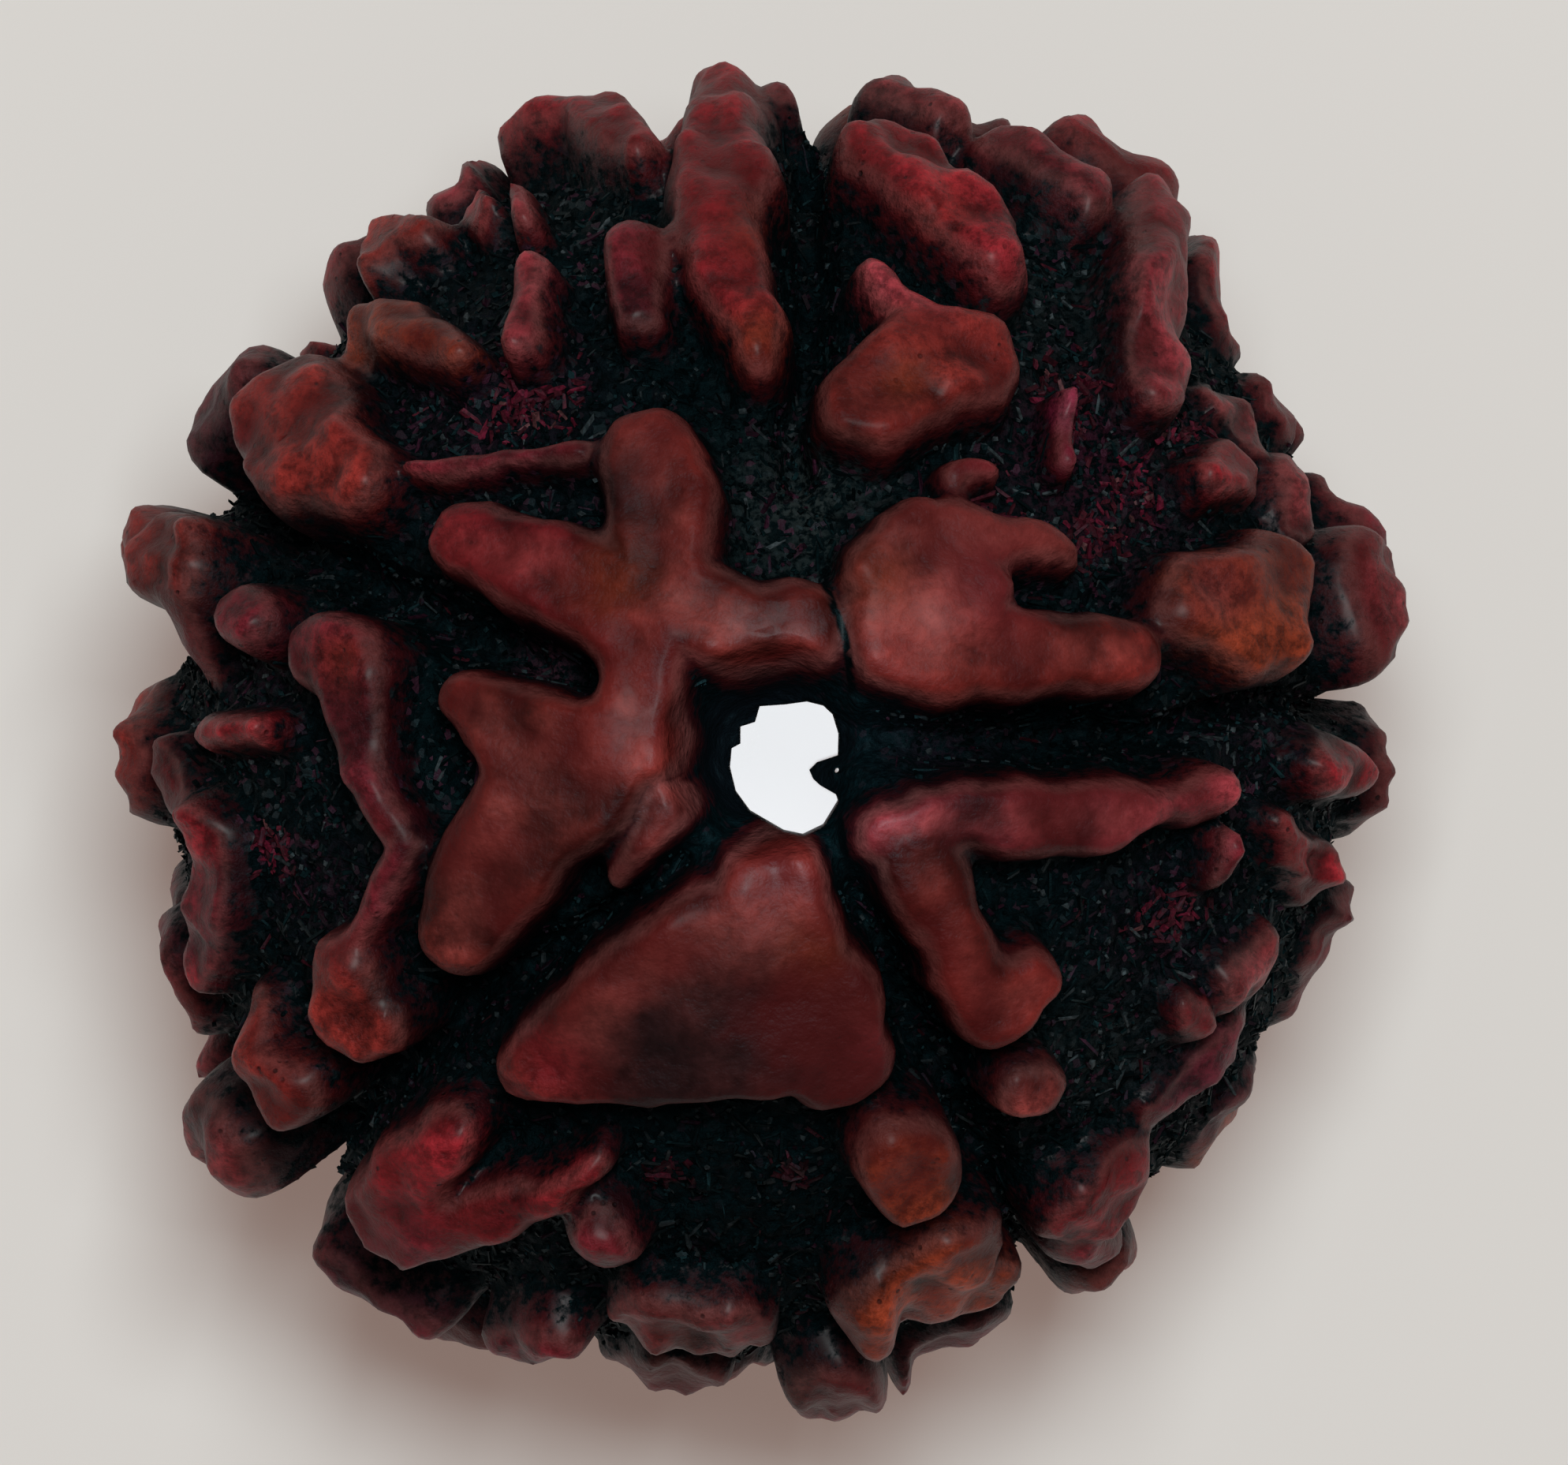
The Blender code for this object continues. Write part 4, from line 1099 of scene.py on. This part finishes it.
# %% [markdown]
# The second class holds a whole material. One method adds any node: its settings are
# set first, then its sockets, each with a value or a wire. The others are short names
# for the nodes that are wanted often. Colours can't go through a Math node, which would
# turn them grey, so they have their own blend.

# %% A material's nodes


def find(sockets, name):
    """A socket by its number, or by its identifier or name."""
    if isinstance(name, int):
        return sockets[name]
    return next(socket for socket in sockets if name in (socket.identifier, socket.name))


class Paint:
    """A material's nodes, with one method that adds any of them."""

    def __init__(self, name):
        self.material = bpy.data.materials.new(name)
        self.material.use_nodes = True
        self.tree = self.material.node_tree
        self.shader = self.tree.nodes["Principled BSDF"]

    def join(self, socket, value):
        """Links a wire to a socket, or sets the socket to a plain value."""
        if isinstance(value, Wire):
            self.tree.links.new(value.socket, socket)
        elif isinstance(value, tuple) and len(value) == 3 and socket.type == "RGBA":
            socket.default_value = (*value, 1.0)
        else:
            socket.default_value = value

    def node(self, kind, settings, inputs, output=0):
        """Adds a node: its settings first, then its sockets by name or number."""
        made = self.tree.nodes.new(kind)
        for name, value in settings.items():
            setattr(made, name, value)
        for name, value in inputs.items():
            self.join(find(made.inputs, name), value)
        return Wire(self, find(made.outputs, output))

    def sum(self, operation, first, second):
        """One Math node."""
        return self.node("ShaderNodeMath", {"operation": operation}, {0: first, 1: second})

    def blend(self, share, below, above, how="MIX"):
        """Lays one colour over another."""
        return self.node("ShaderNodeMix", {"data_type": "RGBA", "blend_type": how},
                         {"Factor_Float": share, "A_Color": below, "B_Color": above},
                         "Result_Color")

    def step(self, value, low, high, start=0.0, end=1.0):
        """A smooth step from start to end, while the value goes from low to high."""
        return self.node("ShaderNodeMapRange", {"interpolation_type": "SMOOTHSTEP"},
                         {"Value": value, "From Min": low, "From Max": high,
                          "To Min": start, "To Max": end})

    def kept(self, name, output="Fac"):
        """A number or colour that the mesh keeps for each point."""
        return self.node("ShaderNodeAttribute", {"attribute_name": name}, {}, output)

    def place(self):
        """The place on the object, in metres."""
        return self.node("ShaderNodeTexCoord", {}, {}, "Object")

    def noise(self, size, detail=2.0, rough=0.5, shift=0.0):
        """Soft noise with features of the given size in millimetres."""
        moved = self.node("ShaderNodeVectorMath", {"operation": "ADD"},
                          {0: self.place(), 1: (shift * MM, 0.0, 0.0)})
        return self.node("ShaderNodeTexNoise", {},
                         {"Vector": moved, "Scale": 1.0 / (size * MM), "Detail": detail,
                          "Roughness": rough}, "Fac")

    def cells(self, size, output="Distance"):
        """Cells of the given size in millimetres."""
        return self.node("ShaderNodeTexVoronoi", {},
                         {"Vector": self.place(), "Scale": 1.0 / (size * MM)}, output)

    def part(self, colour, channel):
        """One channel of a colour."""
        return self.node("ShaderNodeSeparateColor", {}, {"Color": colour}, channel)

    def grey(self, value):
        """A number as a grey colour."""
        return self.node("ShaderNodeCombineColor", {},
                         {"Red": value, "Green": value, "Blue": value})

    def bump(self, height, depth, below=None):
        """Tilts the surface by a height, which counts in depths given in millimetres."""
        inputs = {"Height": height, "Distance": depth * MM, "Strength": 1.0}
        if below is not None:
            inputs["Normal"] = below
        return self.node("ShaderNodeBump", {}, inputs, "Normal")

    def finish(self, **inputs):
        """Joins the shader's sockets and gives the material back."""
        for name, value in inputs.items():
            self.join(self.shader.inputs[name.replace("_", " ")], value)
        return self.material


print("A paint has blends, steps, noise, cells and bumps")

# %% [markdown]
# The finish of the stone starts with what it reads: the measures kept with the mesh, and
# four noises, from broad clouds to fine grit. Rubbed by fingers, the pads near the hole
# take less of the flecks than the outer knobs do.

# %% What the stone's finish reads
BROAD_SIZE = 2.6
PATCH_SIZE = 0.75
FLECK_SIZE = 0.26
FINE_SIZE = 0.14
RUBBED_OFF = 0.65

stone = Paint("rudraksha_stone_skin")
inside = stone.kept("inside")
polish = stone.kept("polish")
ridge_tone = stone.kept("ridge_tone", "Color")
ground_tone = stone.kept("ground_tone", "Color")
broad = stone.noise(BROAD_SIZE, detail=3.0, rough=0.55)
patch = stone.noise(PATCH_SIZE, detail=4.0, rough=0.6, shift=31.0)
fleck = stone.noise(FLECK_SIZE, detail=4.0, rough=0.7, shift=83.0)
fine = stone.noise(FINE_SIZE, detail=3.0, rough=0.65, shift=57.0)
flecked = 1.0 - polish * RUBBED_OFF
print("The finest grit is", FINE_SIZE, "mm")

# %% [markdown]
# On the net the stone is dense and red-brown. It is mottled, with painted shade down
# the flanks, a pale painted highlight along the shoulder and small dark pits on the outer
# knobs. Each of these is one blend over the ridge's own tone.

# %% Colour of the net
PATCH_STEP = (0.3, 0.7)
PATCH_SHADES = (0.72, 1.2)
FLECK_STEP = (0.34, 0.68)
FLECK_SHADES = (-0.5, 0.42)
CLOUD_STEP = (0.42, 0.62)
CLOUD_TONE = (0.125, 0.010, 0.010)
CLOUD_SHARE = 0.5
# A pale painted highlight along the shoulder:
SHOULDER_HIGHLIGHT_FROM = (0.1, 0.2)
SHOULDER_HIGHLIGHT_TO = (0.24, 0.4)
SHOULDER_HIGHLIGHT_TONE = (0.22, 0.085, 0.08)
SHOULDER_HIGHLIGHT_SHARE = 0.45
# Painted shade down the flanks:
FLANK_SHADE_TONE = (0.018, 0.003, 0.005)
FLANK_FRAY = 0.3
FLANK_TOP = 0.26
PIT_SIZE = 0.24
PIT_STEP = (0.08, 0.24)
PITTED_PATCHES = (0.5, 0.66)
PIT_TONE = (0.008, 0.003, 0.004)
PIT_SHARE = 0.75
PITS_RUBBED_OFF = 0.85

mottle = stone.step(patch, *PATCH_STEP, *PATCH_SHADES)
mottle = mottle + stone.step(fleck, *FLECK_STEP, *FLECK_SHADES) * flecked
net_colour = stone.blend(1.0, ridge_tone, stone.grey(mottle), "MULTIPLY")
clouds = stone.step(broad, *CLOUD_STEP, end=CLOUD_SHARE)
net_colour = stone.blend(clouds, net_colour, CLOUD_TONE)
# Painted highlight: a pale line along the ridge's shoulder.
shoulder_highlight = stone.step(inside, *SHOULDER_HIGHLIGHT_FROM) * (1.0 - stone.step(inside, *SHOULDER_HIGHLIGHT_TO))
net_colour = stone.blend(shoulder_highlight * fleck * SHOULDER_HIGHLIGHT_SHARE, net_colour, SHOULDER_HIGHLIGHT_TONE)
# Painted shade: the net darkens down its flanks into the ground.
clear_of_flank_shade = stone.step(inside + (fleck - 0.5) * FLANK_FRAY, 0.0, FLANK_TOP)
net_colour = stone.blend(1.0 - clear_of_flank_shade, net_colour, FLANK_SHADE_TONE)
pits = 1.0 - stone.step(stone.cells(PIT_SIZE), *PIT_STEP)
pits = pits * stone.step(patch, *PITTED_PATCHES)
pits = pits * (1.0 - polish * PITS_RUBBED_OFF)
net_colour = stone.blend(pits * PIT_SHARE, net_colour, PIT_TONE)
print("The pits are", PIT_SIZE, "mm apart")

# %% [markdown]
# Between the ridges lies the black fibrous ground. Fine noise lets its washes through
# in patches, and cells sprinkle it with specks of husk, thickest where the ground is
# busy. Each cell has a random colour: its red decides whether there is a speck, and its
# green whether the speck is grey or plum.

# %% Colour of the ground
SPECK_SIZE = 0.13
SPECK_STEP = (0.72, 0.96)
SPECK_LEAST = 0.1
SPECK_BUSY = 0.85
BLACK_STEP = (0.38, 0.6)
GROUND_BLACK = (0.0002, 0.0010, 0.0014)
GREY_SPECK = (0.024, 0.034, 0.039)
GREY_SHARE = 0.6
PLUM_STEP = (0.5, 0.75)
PLUM_SPECK = (0.055, 0.008, 0.024)
PLUM_SHARE = 0.8

speck_cells = stone.cells(SPECK_SIZE, "Color")
sprinkle = stone.kept("busy") * SPECK_BUSY + SPECK_LEAST
specks = stone.step(stone.part(speck_cells, "Red"), *SPECK_STEP) * sprinkle
plum_specks = specks * stone.step(stone.part(speck_cells, "Green"), *PLUM_STEP)
ground_colour = stone.blend(stone.step(fine, *BLACK_STEP), ground_tone, GROUND_BLACK)
ground_colour = stone.blend(specks * GREY_SHARE, ground_colour, GREY_SPECK)
ground_colour = stone.blend(plum_specks * PLUM_SHARE, ground_colour, PLUM_SPECK)
print("The specks are", SPECK_SIZE, "mm apart")

# %% [markdown]
# Now net and ground meet along a frayed edge, the cracks and the painted shade in the
# hole's mouth are laid over both, and the surface gets its sheen. The stone is satin and
# the ground dull, and two bumps add the grain that is finer than the mesh. Values that are
# the same all over, such as the sheen's cool tint, go straight onto the shader's own sockets.

# %% Finish of the stone
EDGE_FRAY = 0.3
EDGE_FRAY_OUTER = 0.45
NET_EDGE = (-0.03, 0.12)
CRACK_EDGE = (0.04, 0.1)
MOUTH_SHADE_TONE = (0.0015, 0.002, 0.003)
NET_ROUGH = 0.5
NET_ROUGH_SPREAD = 0.4
GROUND_ROUGH = 0.7
SPECK_SHINE = 0.3
GRAIN_DEPTH = 0.13
FLECKS_RAISED = 0.7
PITS_SUNK = 0.35
GRIT_DEPTH = 0.05
GRIT_OFF_NET = 0.6
COAT = 0.14
COAT_OFF_PADS = 0.09
COAT_ROUGH = 0.3
STONE_SHEEN = 0.08
COOL_SHEEN = (0.35, 0.85, 1.0)

fray = (fleck - 0.5) * (EDGE_FRAY + flecked * EDGE_FRAY_OUTER)
on_net = stone.step(inside + fray, *NET_EDGE)
surface = stone.blend(on_net, ground_colour, net_colour)
crack = 1.0 - stone.step(stone.kept("crack"), *CRACK_EDGE)
surface = stone.blend(crack, surface, WASH_TONES["ink"])
# Painted shade: the hole's funnel turns near black from a certain depth on.
surface = stone.blend(stone.kept("mouth"), surface, MOUTH_SHADE_TONE)

rough_net = NET_ROUGH + (fleck - 0.5) * NET_ROUGH_SPREAD
rough_ground = GROUND_ROUGH - specks * SPECK_SHINE
roughness = rough_ground + (rough_net - rough_ground) * on_net
bumps = patch + fleck * flecked * FLECKS_RAISED - pits * PITS_SUNK
tilt = stone.bump(bumps, GRAIN_DEPTH)
tilt = stone.bump(fine * (1.0 - on_net * GRIT_OFF_NET), GRIT_DEPTH, tilt)

skin.data.materials.clear()
skin.data.materials.append(stone.finish(
    Base_Color=surface, Roughness=roughness, Normal=tilt,
    Coat_Weight=on_net * (COAT - polish * COAT_OFF_PADS), Coat_Roughness=COAT_ROUGH,
    Specular_IOR_Level=STONE_SHEEN, Specular_Tint=COOL_SHEEN))
print("The stone's finish has", len(stone.tree.nodes), "nodes")

# %% [markdown]
# The ground isn't only coloured rough: dried fibres and grains of husk stand in it, and
# their small faces catch the light. A grain needs a seat first. Seats are drawn at random
# but from a fixed seed, by the area of the skin's triangles and by how much husk is
# wanted there.

# %% Seats for the grains
LEAST_AREA = 1e-9


def seats_on_skin(draw, count, choose):
    """Random seats, thickest where choose is near one: place, normal and a near point."""
    mesh = skin.data
    mesh.calc_loop_triangles()
    corners = np.empty(len(mesh.loop_triangles) * 3, dtype=np.int32)
    mesh.loop_triangles.foreach_get("vertices", corners)
    corners = corners.reshape(-1, 3)
    first, second, third = points_of(skin)[corners].transpose(1, 0, 2)
    outward = np.cross(second - first, third - first)
    area = np.linalg.norm(outward, axis=1)
    outward /= np.maximum(area, LEAST_AREA)[:, None]
    chance = area * choose[corners].mean(axis=1)
    picked = draw.choice(len(corners), count, p=chance / chance.sum())
    share = draw.random((count, 2))
    share = np.where(share.sum(axis=1, keepdims=True) > 1.0, 1.0 - share, share)
    seat = (first[picked] + share[:, :1] * (second - first)[picked]
            + share[:, 1:] * (third - first)[picked])
    return seat, outward[picked], corners[picked, 0]


print("Seats are drawn from", triangle_count(skin), "triangles")

# %% [markdown]
# One grain is a cube that is squashed, stretched and jittered, and partly sunk in its
# seat. A cube is enough, because thousands of them share the faces that the bead may
# have, and the longest is about half a millimetre. Each copy keeps its own tone.

# %% Grains from a cube
GRAIN_SQUASH = (0.6, 1.0)
GRAIN_JITTER = 0.22
GRAIN_RISE = 0.22
GRAIN_SHADES = (0.4, 1.3)
QUIET_SHARE = 0.3
FLOOR_GAP = 0.02
GRAIN_TONES = {
    "dark": (0.0012, 0.0030, 0.0038),
    "grey": (0.060, 0.070, 0.077),
    "plum": (0.045, 0.009, 0.023),
    "teal": (0.004, 0.014, 0.016),
    "red": (0.090, 0.010, 0.020),
    "pink": (0.170, 0.012, 0.034),
    "pale": (0.160, 0.055, 0.060),
}


def unit_cube():
    """Points and faces of a cube that is one unit wide."""
    start_clean()
    bpy.ops.mesh.primitive_cube_add(size=1.0)
    cube = bpy.context.active_object
    block = np.array([vertex.co[:] for vertex in cube.data.vertices])
    faces = np.array([face.vertices[:] for face in cube.data.polygons])
    bpy.data.objects.remove(cube, do_unlink=True)
    return block, faces


def strewn(name, count, size, slim, mix, choose, seed):
    """Strews jittered grains over the skin, thickest where choose is near one."""
    draw = np.random.default_rng(seed)
    seat, up, skin_point = seats_on_skin(draw, count, choose)
    block, faces = unit_cube()

    side = unit_rows(np.cross(up, draw.normal(size=(count, 3))))
    axes = np.stack([side, np.cross(up, side), up], axis=1)
    sizes = draw.uniform(*size, (count, 1)) * draw.uniform(*GRAIN_SQUASH, (count, 3))
    sizes[:, 0] *= draw.uniform(*slim, count)
    shape = block + draw.uniform(-GRAIN_JITTER, GRAIN_JITTER, (count, len(block), 3))
    grains = np.einsum("nvi,nij->nvj", shape * sizes[:, None], axes)
    grains += (seat + up * sizes[:, 2:] * GRAIN_RISE)[:, None]
    lowest = grains[:, :, 2].min(axis=1)
    grains[:, :, 2] += np.maximum(FLOOR_GAP - lowest, 0.0)[:, None]

    made = bpy.data.meshes.new(name)
    numbers = faces + len(block) * np.arange(count)[:, None, None]
    made.from_pydata((grains.reshape(-1, 3) * MM).tolist(), [], numbers.reshape(-1, 4).tolist())
    item = bpy.data.objects.new(name, made)
    bpy.context.scene.collection.objects.link(item)

    names, weights = zip(*mix.items())
    kinds = draw.choice(len(names), count, p=np.array(weights) / sum(weights))
    tones = np.array([GRAIN_TONES[kind] for kind in names])[kinds]
    tones = tones * draw.uniform(*GRAIN_SHADES, (count, 1))
    tones = tones * (QUIET_SHARE + (1.0 - QUIET_SHARE) * busy[skin_point])[:, None]
    keep_colour(item, "grain_tone", np.repeat(tones, len(block), axis=0))
    return item


print("A grain has one of", len(GRAIN_TONES), "tones")

# %% [markdown]
# Grains and slim shreds lie all over the open ground, and nowhere on the ridges or in
# the hole. A few places also hold bright pink shreds, the last of the fruit's skin.

# %% Strew the husk
OPEN_GROUND = (-0.15, 0.05)
DEEPEST_HUSK = -1.3
HUSK_FROM_HOLE = (1.6, 2.4)
PINK_SPOTS = [
    ((4.7, 5.8), 0.45), ((5.9, 4.6), 0.45), ((5.2, 3.9), 0.5), ((3.3, 4.4), 0.5),
    ((4.4, 6.5), 0.35), ((-4.4, 6.3), 0.9), ((6.8, 5.6), 0.5), ((-2.0, -6.6), 0.35),
    ((0.1, -6.7), 0.3), ((6.4, -2.4), 0.5), ((-8.7, -1.3), 0.45), ((5.2, 6.5), 0.4),
]

from_axis = np.hypot(*(points[:, :2] - HOLE_AXIS).T)
open_ground = 1.0 - smooth_step(facts["inside"], *OPEN_GROUND)
open_ground = open_ground * (facts["height"] > DEEPEST_HUSK)
open_ground = open_ground * smooth_step(from_axis, *HUSK_FROM_HOLE)
pink_ground = open_ground * spots_at(PINK_SPOTS, facts) ** 2
husk_pieces = [
    strewn("husk_grains", 15500, (0.04, 0.10), (0.8, 1.7),
           {"dark": 6, "grey": 1.6, "plum": 1.4, "teal": 3}, open_ground, SEED + 10),
    strewn("husk_shreds", 5200, (0.03, 0.07), (4.0, 9.0),
           {"dark": 5, "grey": 1.6, "plum": 1.4, "teal": 3, "red": 0.4}, open_ground, SEED + 20),
    strewn("husk_pinks", 480, (0.05, 0.11), (1.6, 4.5),
           {"pink": 2, "red": 4, "pale": 0.5}, pink_ground, SEED + 30),
]
for item in husk_pieces:
    print(item.name, "has", triangle_count(item), "triangles")

# %% [markdown]
# The husk is dry and dull. Its finish reads each grain's own shade and lets a fine noise
# darken it in spots, so that no face looks flat.

# %% Finish of the husk
HUSK_SPOT_SIZE = 0.08
HUSK_SPOT_STEP = (0.35, 0.65)
HUSK_SPOT_SHARE = 0.6
HUSK_SPOT_TONE = (0.0008, 0.0015, 0.002)
HUSK_GRIT_SIZE = 0.05
HUSK_GRIT_DEPTH = 0.01
HUSK_ROUGH = 0.55
HUSK_SHEEN = 0.12

husk = Paint("husk_fibre")
husk_spots = husk.step(husk.noise(HUSK_SPOT_SIZE), *HUSK_SPOT_STEP, end=HUSK_SPOT_SHARE)
husk_colour = husk.blend(husk_spots, husk.kept("grain_tone", "Color"), HUSK_SPOT_TONE)
husk_tilt = husk.bump(husk.noise(HUSK_GRIT_SIZE, shift=3.0), HUSK_GRIT_DEPTH)
husk_material = husk.finish(Base_Color=husk_colour, Roughness=HUSK_ROUGH, Normal=husk_tilt,
                            Specular_IOR_Level=HUSK_SHEEN, Specular_Tint=COOL_SHEEN)
for item in husk_pieces:
    item.data.materials.append(husk_material)
print("The husk's finish has", len(husk.tree.nodes), "nodes")

# %% [markdown]
# Every piece moves with the bead's one body. The fine skin stands for the plain solid,
# which is hidden and keeps carrying the bead.

# %% Fit the pieces to the frame
for item in [skin] + husk_pieces:
    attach(item, "root")
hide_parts("bead")
print("The bead is", 1 + len(husk_pieces), "pieces on one body")

# %% [markdown]
# The bead lies on a plain pale floor. One soft light far above it, and a little beyond,
# throws a soft shadow toward the picture's lower edge, and a weak warm sky fills it. In
# a studio, light comes back from everything round about and keeps such a shadow pale.
# Here a faint warm glow of the floor stands in for that, which is quicker to make and
# to render than a room.

# %% Floor and sky
FLOOR_SIZE = 0.8
FLOOR_DROP = 0.02 * MM
FLOOR_COLOUR = (0.80, 0.80, 0.80)
FLOOR_GLOW = (0.160, 0.110, 0.092)
SKY_COLOUR = (1.0, 0.78, 0.70)
SKY_STRENGTH = 0.15

start_clean()
bpy.ops.mesh.primitive_plane_add(size=FLOOR_SIZE, location=(0.0, 0.0, -FLOOR_DROP))
floor = bpy.context.active_object
floor.name = "floor"
floor_paint = Paint("pale_floor")
floor.data.materials.append(floor_paint.finish(
    Base_Color=FLOOR_COLOUR, Roughness=0.9, Specular_IOR_Level=0.0,
    Emission_Color=FLOOR_GLOW, Emission_Strength=1.0))

world = bpy.data.worlds.new("soft_sky")
world.use_nodes = True
background = world.node_tree.nodes["Background"]
background.inputs["Color"].default_value = (*SKY_COLOUR, 1.0)
background.inputs["Strength"].default_value = SKY_STRENGTH
bpy.context.scene.world = world
print("The floor is", FLOOR_SIZE, "m wide")

# %% [markdown]
# The soft light is a square lamp. A second, narrow lamp shines straight down the thread
# hole, which shows that it goes right through. The picture is plain, so the colours are
# shown as they are, with no film look.

# %% Lamps
LIGHT_PLACE = (0.018, 0.08, 0.4)
LIGHT_SIZE = 0.115
LIGHT_WATTS = 0.98
LIGHT_COLOUR = (0.89, 1.0, 0.985)
HOLE_LAMP_HEIGHT = 0.3
HOLE_LAMP_WATTS = 3.4
HOLE_LAMP_DEGREES = 0.62
HOLE_LAMP_COLOUR = (0.85, 0.945, 1.0)


def add_light(name, kind, place, aim, watts, **settings):
    """Adds a lamp at a place, aimed at a point, both in metres."""
    lamp = bpy.data.lights.new(name, kind)
    lamp.energy = watts
    for key, value in settings.items():
        setattr(lamp, key, value)
    item = bpy.data.objects.new(name, lamp)
    item.location = place
    item.rotation_euler = (Vector(aim) - Vector(place)).to_track_quat("-Z", "Y").to_euler()
    bpy.context.scene.collection.objects.link(item)


middle_height = cad_high[2] * MM / 2.0
hole = Vector((HOLE_AXIS[0] * MM, HOLE_AXIS[1] * MM, 0.0))
add_light("soft_box", "AREA", LIGHT_PLACE, (0.0, 0.0, middle_height), LIGHT_WATTS,
          shape="SQUARE", size=LIGHT_SIZE, color=LIGHT_COLOUR)
add_light("hole_lamp", "SPOT", hole + Vector((0.0, 0.0, HOLE_LAMP_HEIGHT)), hole,
          HOLE_LAMP_WATTS, spot_size=math.radians(HOLE_LAMP_DEGREES), spot_blend=0.3,
          shadow_soft_size=0.001, color=HOLE_LAMP_COLOUR)
bpy.context.scene.view_settings.view_transform = "Standard"
print("Two lamps are in place")

# %% [markdown]
# The photograph looks straight down the hole from far enough that nothing leans away, so
# a long lens is used. The picture is 26.5 mm wide at the bead's middle height, and its
# centre lies a little beyond the hole.

# %% Camera
VIEW_WIDTH = 26.507
VIEW_OFFSET = (-0.013, 0.62)
CAMERA_DISTANCE = 450.0
SENSOR_WIDTH = 36.0
NEAREST_SEEN = 0.01

camera = bpy.data.cameras.new("camera")
camera.sensor_width = SENSOR_WIDTH
camera.lens = camera.sensor_width * CAMERA_DISTANCE / VIEW_WIDTH
camera.clip_start = NEAREST_SEEN
viewer = bpy.data.objects.new("camera", camera)
viewer.location = hole + Vector((VIEW_OFFSET[0] * MM, VIEW_OFFSET[1] * MM,
                                 middle_height + CAMERA_DISTANCE * MM))
bpy.context.scene.collection.objects.link(viewer)
bpy.context.scene.camera = viewer
print("The lens is", round(camera.lens), "mm")
